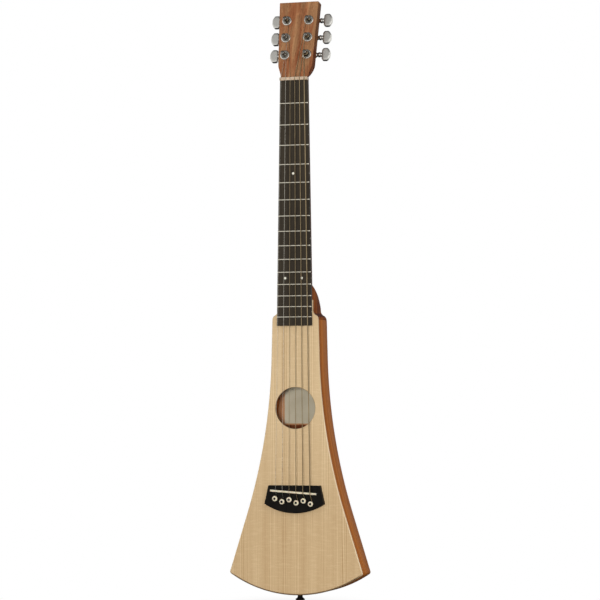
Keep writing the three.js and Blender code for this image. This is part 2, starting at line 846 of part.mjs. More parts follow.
function tunerHousing(side) {
  const [left, right] = [-caseInner * side, caseOuter * side].sort((a, b) => a - b);
  const bevel = caseWall;
  const outline = new THREE.Shape([
    new THREE.Vector2(left + bevel, -caseBelow),
    new THREE.Vector2(right - bevel, -caseBelow),
    new THREE.Vector2(right, bevel - caseBelow),
    new THREE.Vector2(right, caseAbove - bevel),
    new THREE.Vector2(right - bevel, caseAbove),
    new THREE.Vector2(left + bevel, caseAbove),
    new THREE.Vector2(left, caseAbove - bevel),
    new THREE.Vector2(left, bevel - caseBelow),
  ]);
  const shell = new THREE.ExtrudeGeometry(outline, {
    depth: caseDepth - bevel,
    bevelThickness: bevel,
    bevelSize: bevel,
    bevelOffset: -bevel,
    bevelSegments: 1,
  });
  shell.rotateX(quarterTurn).translate(0, headBack + caseDepth - bevel, 0);
  const beyond = bevel + overrun;
  const foot = block(
    [left - overrun, headBack - beyond, -caseBelow - overrun],
    [right + overrun, headBack, caseAbove + overrun],
  );
  const hex = new THREE.CylinderGeometry(hexRadius, hexRadius, hexThickness, hexSides);
  hex.translate(0, -seatGap - washerThickness - hexThickness / 2, 0);
  const collar = -seatGap - washerThickness;
  const body = joined(
    cutBy(solid(shell), foot),
    rod(0, side * bossEnd, wormOffset, bossRadius, roundSegments),
    bar(0, 0, bushingRadius, collar, headBack + overrun),
    bar(0, 0, washerRadius, collar, -seatGap),
    solid(hex),
  );
  const bore = postRadius + seatGap;
  return cutBy(
    body,
    bar(0, 0, bore, collar - hexThickness - overrun, wormDepth, smallSegments),
    bar(0, 0, wheelRadius + seatGap, wheelFront - seatGap, wheelBack + seatGap),
    rod(-side * (caseInner - caseWall), side * caseOuter, wormOffset, wormBore),
    rod(0, side * (bossEnd + overrun), wormOffset, knobShaftRadius + seatGap),
  );
}

// String post: turned, narrow where the string winds, with a hole for the string's tail and
// the worm wheel at its foot.
function tunerPost() {
  const grip = windingStart - seatGap;
  const collar = postHoleHeight - 2 * postHoleRadius;
  const lip = postRadius - postWaistRadius;
  const profile = [
    [0, wheelBack],
    [postWaistRadius, wheelBack],
    [postWaistRadius, wheelFront],
    [postRadius, wheelFront],
    [postRadius, -grip + lip],
    [postWaistRadius, -grip],
    [postWaistRadius, -collar],
    [postRadius, -collar - lip],
    [postRadius, lip - postHeight],
    [postWaistRadius, -postHeight],
    [0, -postHeight],
  ];
  const points = Array.from({ length: 2 * wheelTeeth }, (_, i) => {
    const radius = i % 2 ? wheelRadius : wheelRadius - wheelToothDepth;
    const angle = (halfTurn * i) / wheelTeeth;
    return [radius * Math.cos(angle), radius * Math.sin(angle)];
  });
  const wheel = plate(points, wheelFront + glueGap, wheelBack - glueGap);
  const reach = postRadius + overrun;
  const hole = new THREE.CylinderGeometry(postHoleRadius, postHoleRadius, 2 * reach, threadSteps);
  hole.rotateX(quarterTurn).translate(0, -postHoleHeight, 0);
  return cutBy(joined(solid(turned(profile, smallSegments)), wheel), solid(hole));
}

// Knob: a flattened, rounded grip on the worm's shaft.
function knobOutline(side) {
  const inner = bossEnd + seatGap + knobCollarLength;
  const outer = inner + knobLength - knobCollarLength;
  const half = knobHeight / 2;
  const waist = half * Math.SQRT1_2;
  const shoulder = mix(inner, outer, Math.SQRT1_2 / 2);
  const crown = mix(inner, outer, Math.SQRT1_2);
  const edge = [
    [inner, waist],
    [shoulder, half],
    [crown, half],
    [outer, waist / 2],
  ];
  const outline = [...edge, ...edge.map(([x, z]) => [x, -z]).reverse()];
  return outline.map(([x, z]) => new THREE.Vector2(side * x, wormOffset + z));
}

function tunerKnob(side) {
  const bevel = knobThickness / 4;
  const shape = new THREE.Shape(knobOutline(side));
  const grip = new THREE.ExtrudeGeometry(shape, {
    depth: knobThickness - 2 * bevel,
    bevelThickness: bevel,
    bevelSize: bevel,
    bevelOffset: -bevel,
    bevelSegments: 1,
  });
  grip.rotateX(quarterTurn).translate(0, wormDepth + knobThickness / 2 - bevel, 0);
  const near = bossEnd + seatGap;
  const reach = caseInner - caseWall - seatGap;
  const thread = Array.from({ length: wormTurns * threadSteps + 1 }, (_, i) => {
    const angle = (2 * halfTurn * i) / threadSteps;
    const along = wormPitch * (i / threadSteps - wormTurns / 2);
    return new THREE.Vector3(
      along,
      wormDepth + wormCoreRadius * Math.cos(angle),
      wormOffset + wormCoreRadius * Math.sin(angle),
    );
  });
  return joined(
    solid(grip),
    rod(side * near, side * (near + knobCollarLength + overrun), wormOffset, knobCollarRadius),
    rod(side * caseOuter, side * (near + overrun), wormOffset, knobShaftRadius),
    rod(-side * reach, side * (caseOuter + overrun), wormOffset, wormCoreRadius),
    tube(thread, wormThreadRadius, threadSides),
  );
}

// Assembly
const guitar = new THREE.Group();
guitar.add(
  piece("soundboard", soundboard(), spruce),
  piece("body_sides", bodySides(), mahogany),
  piece("back_plate", backPlate(), mahogany),
  piece("neck", neck(), mahogany),
  piece("fingerboard", fingerboard(), darkWood),
  piece("nut", nut(), bone),
  piece("bridge", bridge(), darkWood),
  piece("bridge_plate", bridgePlate(), braceWood),
  piece("upper_brace", brace(upperBraceZ), braceWood),
  piece("lower_brace", brace(lowerBraceZ), braceWood),
  piece("tail_block", tailBlock(), mahogany),
  piece("paper_label", label(), paper),
  piece("strap_button", strapButton(), blackPlastic),
  piece("strap_button_screw", strapScrew(), steel),
);

const saddleMesh = piece("saddle", saddle(), bone);
saddleMesh.position.set(stringSetShift, 0, saddleMiddle);
saddleMesh.rotation.y = saddleAngle;
guitar.add(saddleMesh);

for (let number = 1; number <= fretCount; number += 1) {
  guitar.add(piece("fret_" + number, fret(number), nickel));
}

for (const details of strings) {
  const pin = piece("bridge_pin_" + details.name, bridgePin(), bone);
  pin.position.set(details.pinX, 0, details.pinZ);
  guitar.add(pin);
  guitar.add(piece("string_" + details.name, string(details), details.wound ? bronze : steel));
}

for (const { side, name, x, z } of tuners) {
  const tuner = new THREE.Group();
  tuner.position.set(x, 0, z);
  tuner.add(
    piece("tuner_housing_" + name, tunerHousing(side), chrome),
    piece("tuner_post_" + name, tunerPost(), chrome),
    piece("tuner_knob_" + name, tunerKnob(side), chrome),
  );
  head.add(tuner);
}
guitar.add(head);

export default guitar;
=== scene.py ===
import math

import bmesh
import bpy
from mathutils import Matrix, Vector


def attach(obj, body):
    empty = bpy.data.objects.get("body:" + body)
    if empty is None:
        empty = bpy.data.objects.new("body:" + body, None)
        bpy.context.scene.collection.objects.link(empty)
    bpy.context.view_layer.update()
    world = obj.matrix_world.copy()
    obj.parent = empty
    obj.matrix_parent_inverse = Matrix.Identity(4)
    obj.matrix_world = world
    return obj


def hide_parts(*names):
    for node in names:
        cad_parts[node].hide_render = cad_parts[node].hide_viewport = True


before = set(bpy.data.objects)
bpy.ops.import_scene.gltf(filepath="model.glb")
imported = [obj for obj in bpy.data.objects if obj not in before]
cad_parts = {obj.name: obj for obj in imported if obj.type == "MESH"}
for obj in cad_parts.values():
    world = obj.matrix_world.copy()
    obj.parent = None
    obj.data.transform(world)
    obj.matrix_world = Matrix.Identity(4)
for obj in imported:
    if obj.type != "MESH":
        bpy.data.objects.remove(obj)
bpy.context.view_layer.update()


# Camera: it stands a step to the right of the guitar, level with the strings' middle, and looks
# slightly up, so that the side on the right shows. The numbers come from the photograph's frets.
def add(name, data):
    """Puts a mesh, a camera or a lamp in the scene as an object."""
    made = bpy.data.objects.new(name, data)
    bpy.context.scene.collection.objects.link(made)
    return made


mm = 0.001
lens = bpy.data.cameras.new("camera")
lens.lens, lens.sensor_width, lens.clip_end = 152.82, 36, 60
camera = add("camera", lens)
camera.matrix_world = (
    Matrix.Translation((1.15375, -3.60400, -0.47553))
    @ Matrix.Rotation(math.radians(17.613), 4, "Z")
    @ Matrix.Rotation(math.radians(92.23), 4, "X")
    @ Matrix.Rotation(math.radians(-0.111), 4, "Z")
)
bpy.context.scene.camera = camera
bpy.context.scene.view_settings.view_transform = "Standard"


# Studio: a white floor that keeps the guitar's soft shadow close by and turns plain white further
# off, a small softbox in front and low down, a large weak one on the right, and even light around.
def colour(code):
    """A colour written as on screen, as the linear numbers that shaders take."""
    parts = [int(code[i : i + 2], 16) / 255 for i in (1, 3, 5)]
    curve = [((part + 0.055) / 1.055) ** 2.4 for part in parts]
    return [part / 12.92 if part < 0.04045 else up for part, up in zip(parts, curve)] + [1]


def new_node(kind, inputs=(), tree=None, **settings):
    """Adds a node and gives its outputs. A value of inputs that is another node's output gets
    linked and names the tree, and one that begins with # is a colour."""
    inputs = dict(inputs)
    sockets = [value for value in inputs.values() if isinstance(value, bpy.types.NodeSocket)]
    tree = tree or sockets[0].id_data
    made = tree.nodes.new(kind)
    for name, value in settings.items():
        setattr(made, name, value)
    for socket, value in inputs.items():
        if value in sockets:
            tree.links.new(value, made.inputs[socket])
        else:
            made.inputs[socket].default_value = colour(value) if str(value)[0] == "#" else value
    return made.outputs


def calc(operation, *values, clamp=False):
    """A Math node's output. More than two values are worked out from the first one on."""
    while len(values) > 2:
        values = (calc(operation, *values[:2]), *values[2:])
    kind = "ShaderNodeMath"
    return new_node(kind, enumerate(values), operation=operation, use_clamp=clamp)[0]


def vector_calc(operation, *values):
    """A Vector Math node's outputs."""
    return new_node("ShaderNodeVectorMath", enumerate(values), operation=operation)


def xyz(vector):
    """The three parts of a vector, by name."""
    return new_node("ShaderNodeSeparateXYZ", {0: vector})


def size_of(vector, part):
    """How large one part of a vector is, whichever way it points."""
    return calc("ABSOLUTE", xyz(vector)[part])


def vector_of(x=0.0, y=0.0, z=0.0):
    """A vector from its three parts."""
    return new_node("ShaderNodeCombineXYZ", {0: x, 1: y, 2: z})[0]


def ramp(value, low, high, to_low=0.0, to_high=1.0, kind="LINEAR"):
    """A value carried from one range to another, and kept inside it."""
    ends = {"From Min": low, "From Max": high, "To Min": to_low, "To Max": to_high}
    return new_node("ShaderNodeMapRange", {"Value": value, **ends}, interpolation_type=kind)[0]


def blended(share, first, second):
    """The first colour with a share of the second one mixed in."""
    return new_node("ShaderNodeMix", {0: share, 6: first, 7: second}, data_type="RGBA")[2]


floor_level, floor_half = -0.7757, 25
floor_mesh = bpy.data.meshes.new("floor")
ways = ((-1, -1), (1, -1), (1, 1), (-1, 1))
floor_points = [(x * floor_half, y * floor_half, floor_level) for x, y in ways]
floor_mesh.from_pydata(floor_points, [], [(0, 1, 2, 3)])
floor = add("floor", floor_mesh)
floor_paint = bpy.data.materials.new("white floor")
floor_paint.use_nodes = True
tree = floor_paint.node_tree
tree.nodes.clear()
place = new_node("ShaderNodeTexCoord", tree=tree)["Object"]
distance = vector_calc("LENGTH", vector_calc("MULTIPLY", place, (1, 1, 0))[0])["Value"]
path = new_node("ShaderNodeLightPath", tree=tree)
direct = calc("MAXIMUM", path["Is Camera Ray"], path["Is Transmission Ray"])
plainly = ramp(distance, 0.0, 0.16, 0.85, kind="SMOOTHSTEP")
dimly = ramp(distance, 0.5, 2.4, 0.1, kind="SMOOTHSTEP")
paint = blended(path["Is Diffuse Ray"], "#f7f7f7", "#8c8c8c")
matt = new_node("ShaderNodeBsdfDiffuse", {"Color": paint})[0]
strength = calc("MAXIMUM", direct, dimly)
white = new_node("ShaderNodeEmission", {"Color": (1, 1, 1, 1), "Strength": strength})[0]
share = calc("MAXIMUM", calc("MULTIPLY", plainly, direct), path["Is Glossy Ray"])
mixed = new_node("ShaderNodeMixShader", {0: share, 1: matt, 2: white})[0]
new_node("ShaderNodeOutputMaterial", {"Surface": mixed})
floor.data.materials.append(floor_paint)

world = bpy.data.worlds.new("studio")
world.use_nodes = True
bpy.context.scene.world = world
tree = world.node_tree
tree.nodes.clear()
path = new_node("ShaderNodeLightPath", tree=tree)
direct = calc("MAXIMUM", path["Is Camera Ray"], path["Is Transmission Ray"])
height = size_of(new_node("ShaderNodeTexCoord", tree=tree)["Generated"], "Z")
level = ramp(height, 0.25, 0.75, 1, 0.12, kind="SMOOTHSTEP")
mirrored_light = calc("MULTIPLY", level, path["Is Glossy Ray"])
soft_light = calc("MULTIPLY", calc("SUBTRACT", 1, path["Is Glossy Ray"]), 0.52)
strength = calc("MAXIMUM", direct, calc("ADD", mirrored_light, soft_light))
light = new_node("ShaderNodeBackground", {"Color": (1, 1, 1, 1), "Strength": strength})[0]
new_node("ShaderNodeOutputWorld", {"Surface": light})

# Only the second softbox shows in mirroring metal.
lit_spot = Vector((0, 0, -0.35))
for name, spot, size, power, mirrored in (
    ("key softbox", (0.6, -3.3, -0.4), 0.7, 78, False),
    ("right softbox", (2.4, -1.9, 0.2), 1.8, 11, True),
):
    lamp = bpy.data.lights.new(name, "AREA")
    lamp.size, lamp.energy = size, power
    shone = add(name, lamp)
    aim = (lit_spot - Vector(spot)).to_track_quat("-Z", "Y")
    shone.matrix_world = Matrix.Translation(spot) @ aim.to_matrix().to_4x4()
    shone.visible_glossy = mirrored


# Soundboard: two book-matched leaves of pale spruce, 3 mm thick and left nearly bare, with a plain
# round sound hole. Its narrow tongue runs up under the fingerboard's end, and its edges are eased.
top_face, top_back = 6 * mm, 9 * mm
back_inside, back_face = 48 * mm, 51 * mm
body_bottom, bottom_radius = -766.2 * mm, 184 * mm
shoulder_bottom, shoulder_top, tongue_top = -357.5 * mm, -343.5 * mm, -328 * mm
tongue_half, waist_half, waist_length = 27.5 * mm, 36 * mm, 57 * mm
hole_radius, hole_height = 30.8 * mm, -488.6 * mm


def arc(centre, radius, start, end, steps):
    """Points (x, z) along an arc, from one angle to another."""
    angles = [start + (end - start) * i / steps for i in range(steps + 1)]
    return [(centre[0] + radius * math.cos(a), centre[1] + radius * math.sin(a)) for a in angles]


def shoulder_edge():
    """The S of two equal arcs that widens the neck's foot to the body's waist."""
    steps, length, shift = 10, shoulder_top - shoulder_bottom, waist_half - tongue_half
    turn = 2 * math.atan(shift / length)
    radius = length / 2 / math.sin(turn)
    high = arc((tongue_half + radius, shoulder_top), radius, math.pi, math.pi + turn, steps)
    low = arc((waist_half - radius, shoulder_bottom), radius, turn, 0, steps)
    return high + low[1:]


def body_edge(inset=0):
    """The body's outline on the bass side: waist, long flare, small corner and round bottom."""
    lean, open_angle = math.radians(1.4), math.radians(17.46)
    flare_radius, corner = 835 * mm, 4 * mm
    reach = waist_length * math.sin(lean) + flare_radius * math.cos(lean)
    rise = flare_radius * math.sin(lean) - waist_length * math.cos(lean)
    bend = (waist_half + reach, shoulder_bottom + rise)
    flare = arc(bend, flare_radius + inset, math.pi + lean, math.pi + open_angle, 44)
    end = arc(bend, flare_radius, 0, math.pi + open_angle, 1)[1]
    down = Vector((math.sin(open_angle), -math.cos(open_angle)))
    inward = Vector((-math.cos(open_angle), -math.sin(open_angle)))
    heart = Vector((0, body_bottom + bottom_radius))
    lead = Vector(end) + corner * inward - heart
    slant = lead.dot(down)
    run = math.sqrt(slant**2 + (bottom_radius - corner) ** 2 - lead.length_squared) - slant
    knee = heart + lead + run * down
    turn = math.atan2(knee[1] - heart[1], knee[0] - heart[0])
    return (
        [(waist_half - inset, shoulder_bottom)]
        + flare
        + arc(knee, corner - inset, open_angle, turn, 10)
        + arc(heart, bottom_radius - inset, turn, -math.pi / 2, 40)[1:]
    )


def both_halves(edge):
    """A whole outline from its bass half, of which the last point lies on the centre line."""
    return edge + [(-x, z) for x, z in reversed(edge[:-1])]


def drawn_in(loop, by):
    """A closed outline moved inwards, with mitred corners."""
    points = [Vector(point) for point in loop]
    turning = sum(a.x * b.y - b.x * a.y for a, b in zip(points, points[1:] + points[:1]))
    side = 1 if turning > 0 else -1
    moved = []
    for i, point in enumerate(points):
        before = (point - points[i - 1]).normalized()
        after = (points[(i + 1) % len(points)] - point).normalized()
        normals = [Vector((-run.y, run.x)) * side for run in (before, after)]
        middle = (normals[0] + normals[1]).normalized()
        moved.append(point + middle * by / max(0.3, middle.dot(normals[0])))
    return [tuple(point) for point in moved]


def rim(loop, front, back, rounding, margin=0.4 * mm, steps=3, back_rounding=None):
    """Rings of a board's rim: flat margin, rounded front edge, rounded back edge, flat margin."""
    rings = []
    back_rounding = rounding if back_rounding is None else back_rounding
    for depth, way, radius in ((front, 1, rounding), (back, -1, back_rounding)):
        turns = [math.pi / 2 * i / steps for i in range(steps + 1)]
        bends = [(radius * (1 - math.sin(a)), radius * (1 - math.cos(a))) for a in turns]
        side = [
            [(x, depth + way * drop, z) for x, z in drawn_in(loop, inset)]
            for inset, drop in [(margin + radius, 0)] + bends
        ]
        rings += side[::way]
    return rings


def prism(loop, near, far):
    """The two rings of a plain piece with straight sides."""
    return [[(x, y, z) for x, z in loop] for y in (near, far)]


def eased(piece, crease):
    """Smooth shading that keeps edges sharper than the given angle."""
    piece.data.shade_smooth()
    piece.data.set_sharp_from_angle(angle=math.radians(crease))


def solid(name, shape, material, crease, place):
    """A piece from a closed bmesh, which is moved into its place."""
    bmesh.ops.recalc_face_normals(shape, faces=shape.faces[:])
    mesh = bpy.data.meshes.new(name)
    shape.to_mesh(mesh)
    shape.free()
    mesh.transform(place)
    made = add(name, mesh)
    eased(made, crease)
    if material:
        mesh.materials.append(material)
    return made


def skin(name, stacks, material=None, crease=35, place=Matrix()):
    """A closed piece from stacks of rings. All the first rings together are closed as one end
    face, with holes where rings lie inside others, and so are all the last ones."""
    shape = bmesh.new()
    ends = ([], [])
    for rings in stacks:
        rows = [[shape.verts.new(point) for point in ring] for ring in rings]
        for low, high in zip(rows, rows[1:]):
            for i in range(len(low)):
                shape.faces.new((low[i - 1], low[i], high[i], high[i - 1]))
        for end, row in zip(ends, (rows[0], rows[-1])):
            end += [shape.edges.get((row[i - 1], row[i])) for i in range(len(row))]
    for end in ends:
        bmesh.ops.triangle_fill(shape, use_beauty=True, use_dissolve=False, edges=end)
    return solid(name, shape, material, crease, place)


def new_group(name, inputs, outputs=None):
    """An empty group, from the kinds of its sockets by name. Without outputs it is a Geometry Nodes
    tree, which takes and gives a geometry."""
    kind = "ShaderNodeTree" if outputs else "GeometryNodeTree"
    if not outputs:
        inputs, outputs = {"Geometry": "Geometry", **inputs}, {"Geometry": "Geometry"}
    group = bpy.data.node_groups.new(name, kind)
    for way, sockets in (("INPUT", inputs), ("OUTPUT", outputs)):
        for label, kind in sockets.items():
            group.interface.new_socket(label, in_out=way, socket_type="NodeSocket" + kind)
    nodes = group.nodes
    return group, nodes.new("NodeGroupInput").outputs, nodes.new("NodeGroupOutput").inputs


def placed(group, **values):
    """A group in a material, with its own values. A space in a socket's name is written as _."""
    inputs = {name.replace("_", " "): value for name, value in values.items()}
    return new_node("ShaderNodeGroup", inputs, node_tree=group)


def noise(vector, stretch, detail=2):
    """Noise whose blotches are about as large as stretch (metres) says, along each axis."""
    stretch = stretch if isinstance(stretch, tuple) else (stretch,) * 3
    sized = vector_calc("MULTIPLY", vector, [1 / size for size in stretch])[0]
    return new_node("ShaderNodeTexNoise", {"Vector": sized, "Scale": 1, "Detail": detail})["Fac"]


# Year rings lie across X and waver along Z, with dark bands, short pores and silk.
names = "Line Width, Line Depth, Waver, Band Depth, Pore Depth, Silk Depth, Darken".split(", ")
sockets = {"Vector": "Vector", "Pale": "Color", "Deep": "Color", **dict.fromkeys(names, "Float")}
results = {"Color": "Color", "Height": "Float"}
wood_figure, given, out = new_group("wood figure", sockets, results)
spot = given["Vector"]
axes = xyz(spot)
drift = calc("SUBTRACT", noise(spot, (0.03, 0.03, 0.12), 1), 0.5)
sway = calc("MULTIPLY", given["Waver"], 2, drift)
across = calc("ADD", axes["X"], sway, calc("MULTIPLY", axes["Y"], 0.35))
bent = vector_of(across, axes["Y"], axes["Z"])
uneven = calc("MULTIPLY", noise(bent, (0.011, 0.03, 1.5), 1), 5)
years = calc("ADD", calc("DIVIDE", across, given["Line Width"]), uneven)
late = calc("POWER", calc("FRACT", years), 3)
cloud = noise(bent, (0.009, 0.03, 0.35), 3)
band = calc("MULTIPLY", calc("SUBTRACT", cloud, 0.5), 3)
pores = ramp(noise(bent, (0.0005, 0.0009, 0.009), 1), 0.6, 0.72)
silk = ramp(noise(bent, (0.014, 0.02, 0.0018), 2), 0.5, 0.7)
amount = calc(
    "ADD",
    calc("MULTIPLY", late, given["Line Depth"]),
    calc("MULTIPLY", band, given["Band Depth"]),
    calc("MULTIPLY", pores, given["Pore Depth"]),
    calc("MULTIPLY", given["Silk Depth"], -1, silk),
    given["Darken"], clamp=True,
)
links = wood_figure.links
links.new(blended(amount, given["Pale"], given["Deep"]), out["Color"])
dents = calc("ADD", calc("MULTIPLY", late, 0.4), pores)
links.new(calc("SUBTRACT", 1, dents), out["Height"])

# The roughness wanders by the given spread, in clouds as large as the given grain.
sockets = {"Vector": "Vector", "Base": "Float", "Spread": "Float", "Grain": "Float"}
satin, given, out = new_group("satin", sockets, {"Roughness": "Float"})
fineness = {0: given["Vector"], "Scale": calc("DIVIDE", 1, given["Grain"])}
sized = new_node("ShaderNodeVectorMath", fineness, operation="SCALE")[0]
blotch = new_node("ShaderNodeTexNoise", {"Vector": sized, "Scale": 1, "Detail": 3})["Fac"]
spread = calc("MULTIPLY", calc("SUBTRACT", blotch, 0.5), given["Spread"], 2)
satin.links.new(calc("ADD", given["Base"], spread, clamp=True), out["Roughness"])


def new_material(name, **numbers):
    """A material with numbers set straight on its shader, and its object coordinates."""
    made = bpy.data.materials.new(name)
    made.use_nodes = True
    tree = made.node_tree
    for socket, value in numbers.items():
        tree.nodes["Principled BSDF"].inputs[socket.replace("_", " ")].default_value = value
    return made, new_node("ShaderNodeTexCoord", tree=tree)["Object"]


def finish(spot, tint, satin_values, height=None, depth=0.0):
    """Gives a material its colour, a satin of (base, spread, grain), and bumps where a height of 1
    stands the given depth (metres) above 0."""
    tree = spot.id_data
    shader = tree.nodes["Principled BSDF"].inputs
    base, spread, grain = satin_values
    tree.links.new(tint, shader["Base Color"])
    rough = placed(satin, Vector=spot, Base=base, Spread=spread, Grain=grain)
    tree.links.new(rough["Roughness"], shader["Roughness"])
    if height is not None:
        bump = {"Height": height, "Distance": depth, "Strength": 1}
        tree.links.new(new_node("ShaderNodeBump", bump)[0], shader["Normal"])


def turned_to(vector, shift=(0, 0, 0), turn=(0, 0, 0)):
    """Coordinates moved and turned, so that a figure is centred or follows a piece."""
    values = {"Vector": vector, "Location": shift, "Rotation": turn}
    return new_node("ShaderNodeMapping", values)[0]


spruce, spot = new_material("bare spruce", Specular_IOR_Level=0.2)
axes = xyz(spot)
joint = -0.0172
mirrored_x = calc("ABSOLUTE", calc("SUBTRACT", axes["X"], joint))
leaf = vector_of(mirrored_x, axes["Y"], axes["Z"])
# Two dark lines edge a yellower band beside the joint, and a fainter one runs near the left edge.
lines = []
for middle, width, depth in (
    (-0.0202, 0.0013, 0.42), (joint, 0.0026, 0.14),
    (-0.0141, 0.0011, 0.28), (-0.0822, 0.0011, 0.36),
):
    off = calc("ABSOLUTE", calc("SUBTRACT", axes["X"], middle))
    lines.append(ramp(off, 0, width, depth, 0))
faded = ramp(noise(leaf, (0.05, 0.05, 0.08)), 0.35, 0.6, 0.4, 1)
marks = calc("MULTIPLY", calc("ADD", *lines), faded)
# The eased side edges get a painted pale highlight, and the bottom's and hole's edges painted
# shade.
sideways = size_of(spot.node.outputs["Normal"], "X")
off_middle = ramp(size_of(spot, "X"), 0.036, 0.046)
painted_edge_highlight = calc("MULTIPLY", ramp(sideways, 0.25, 0.6, 0, 0.6), off_middle)
upright = vector_calc("MULTIPLY", spot, (1, 0, 1))[0]
heart = (0, 0, body_bottom + bottom_radius)
from_heart = vector_calc("DISTANCE", upright, heart)["Value"]
from_hole = vector_calc("DISTANCE", upright, (0, 0, hole_height))["Value"]
low_down = ramp(axes["Z"], -0.73, -0.74)
# Painted shade: a dark line along the bottom's rounded edge and round the sound hole's wall.
bottom_rim_shade = ramp(from_heart, bottom_radius - 2.6 * mm, bottom_radius - 1.7 * mm, 0, 0.8)
hole_wall_shade = ramp(from_hole, hole_radius + 0.7 * mm, hole_radius + 0.1 * mm, 0, 0.8)
painted_edge_shade = calc("MAXIMUM", calc("MULTIPLY", bottom_rim_shade, low_down), hole_wall_shade)
# Painted shade: the board grows darker towards the bottom, where less light reaches it.
figure = placed(
    wood_figure, Vector=leaf, Pale="#d9c098", Deep="#9a7446", Line_Width=0.0020,
    Line_Depth=0.62, Waver=0.0012, Band_Depth=0.14, Pore_Depth=0.06, Silk_Depth=0.10,
    Darken=calc("ADD", marks, ramp(axes["Z"], -0.5, -0.66, 0.11, 0.29)),
)
# The painted highlight on the side edges, then the painted shade on the bottom and hole edges.
highlighted_edges = blended(painted_edge_highlight, figure["Color"], "#ffe9c4")
darkened_edges = blended(painted_edge_shade, highlighted_edges, "#4c3520")
finish(spot, darkened_edges, (0.52, 0.12, 0.004), figure["Height"], 0.00004)

hole = arc((0, hole_height), hole_radius, 0, 2 * math.pi, 96)[:-1]
tongue = [(tongue_half, tongue_top), (tongue_half, shoulder_top)]
board = both_halves(tongue + shoulder_edge()[1:] + body_edge()[1:])
hole_rings = [
    [(x, y, z) for x, z in drawn_in(hole, -by * mm)]
    for y, by in (
        (top_face, 0.9),
        (top_face, 0.4),
        (top_face + 0.12 * mm, 0.12),
        (top_face + 0.4 * mm, 0),
        (top_back - 0.1 * mm, 0),
        (top_back, 0.1),
        (top_back, 0.5),
    )
]
board_rings = rim(board, top_face, top_back, 1.4 * mm, steps=5, back_rounding=0.1 * mm)
soundboard = skin("soundboard", [board_rings, hole_rings], spruce)
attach(soundboard, "guitar")
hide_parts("soundboard")


# Sides: two long mahogany strips, bent round the body as one band and glued between top and back.
# Their grain follows the bend, so the figure is laid along the strip's own length.
def wooden(spot, satin_values, depth, **values):
    """Gives a material the wood figure in its own colours, with its pores as small dents."""
    figure = placed(wood_figure, **values)
    finish(spot, figure["Color"], satin_values, figure["Height"], depth)


side_thickness = 2.5 * mm
mahogany, spot = new_material("bent mahogany", Specular_IOR_Level=0.05)
strip = xyz(new_node("ShaderNodeUVMap", tree=spot.id_data, uv_map="strip")[0])
# Painted shade: the strip is darker along both its edges, next to the top and next to the back.
top_join_shade = ramp(strip["Y"], 0.009, 0.024, 0.30, 0)
back_join_shade = ramp(strip["Y"], 0.034, 0.048, 0, 0.16)
wooden(
    spot, (0.58, 0.12, 0.003), 0.00006, Vector=vector_of(strip["Y"], 0, strip["X"]),
    Pale="#cc7a32", Deep="#5e2a0c", Line_Width=0.006, Line_Depth=0.12, Waver=0.006,
    Band_Depth=0.30, Pore_Depth=0.30, Darken=calc("ADD", top_join_shade, back_join_shade, 0.14),
)

outer = both_halves(body_edge())
inner = both_halves(body_edge(side_thickness))
band = rim(outer + inner[::-1], top_back, back_inside, 0.15 * mm, margin=0.5 * mm, steps=2)
body_sides = skin("body_sides", [band], mahogany)
walked = [0]
for start, end in zip(outer, outer[1:]):
    walked.append(walked[-1] + math.dist(start, end))
strip_map = body_sides.data.uv_layers.new(name="strip")
for corner in body_sides.data.loops:
    x, y, z = body_sides.data.vertices[corner.vertex_index].co
    nearest = min(range(len(outer)), key=lambda i: (outer[i][0] - x) ** 2 + (outer[i][1] - z) ** 2)
    strip_map.data[corner.index].uv = (walked[nearest], y)
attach(body_sides, "guitar")
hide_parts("body_sides")


# Back: one flat mahogany board with its long edges eased, glued on last. Its inside is paler bare
# wood, with painted shade below the sound hole's lower edge.
flat_mahogany, spot = new_material("flat mahogany", Specular_IOR_Level=0.1)
facing = xyz(spot.node.outputs["Normal"])
oiled = ramp(facing["Y"], -0.9, -0.5)
# Painted shade: the inside face is darker below the sound hole's lower edge.
hole_shade_painted = ramp(xyz(spot)["Z"], -0.5130, -0.5148)
hole_shade_painted = calc("MULTIPLY", hole_shade_painted, calc("SUBTRACT", 1, oiled))
wooden(
    spot, (0.46, 0.12, 0.004), 0.00006, Vector=turned_to(spot, shift=(0.4, 0.1, 0)),
    Pale=blended(oiled, "#b2815b", "#b27242"), Deep="#5c2e17", Line_Width=0.007,
    Line_Depth=0.12, Waver=0.008, Band_Depth=0.34, Pore_Depth=0.3,
    Darken=calc("ADD", calc("MULTIPLY", oiled, 0.3), hole_shade_painted),
)
back_rings = rim(outer, back_inside, back_face, 0.1 * mm, back_rounding=1.2 * mm, steps=4)
back_plate = skin("back_plate", [back_rings], flat_mahogany)
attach(back_plate, "guitar")
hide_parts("back_plate")


# Inside: two spruce braces, the plate under the bridge and the tail block, all glued to the top,
# with a blank paper label on the back behind the sound hole.
sawn, spot = new_material("sawn brace wood", Specular_IOR_Level=0.3)
wooden(
    spot, (0.72, 0.1, 0.002), 0.0001, Vector=turned_to(spot, turn=(0, math.pi / 2, 0)),
    Pale="#d8bd90", Deep="#a17a4c", Line_Width=0.0019, Line_Depth=0.35, Waver=0.001,
    Band_Depth=0.2, Pore_Depth=0.1, Darken=0.1,
)

paper, spot = new_material("label paper", Specular_IOR_Level=0.25)
fibre, cloud = noise(spot, 0.0009, 4), noise(spot, 0.02)
fibres = calc("MULTIPLY", fibre, 0.35)
shade = calc("ADD", fibres, calc("MULTIPLY", cloud, 0.65))
tint = blended(ramp(shade, 0.35, 0.65), "#bfb7a1", "#b3aa93")
finish(spot, tint, (0.8, 0.08, 0.001), fibre, 0.00003)

for name, material in (
    ("upper_brace", sawn),
    ("lower_brace", sawn),
    ("bridge_plate", sawn),
    ("tail_block", flat_mahogany),
    ("paper_label", paper),
):
    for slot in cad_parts[name].material_slots:
        slot.material = material


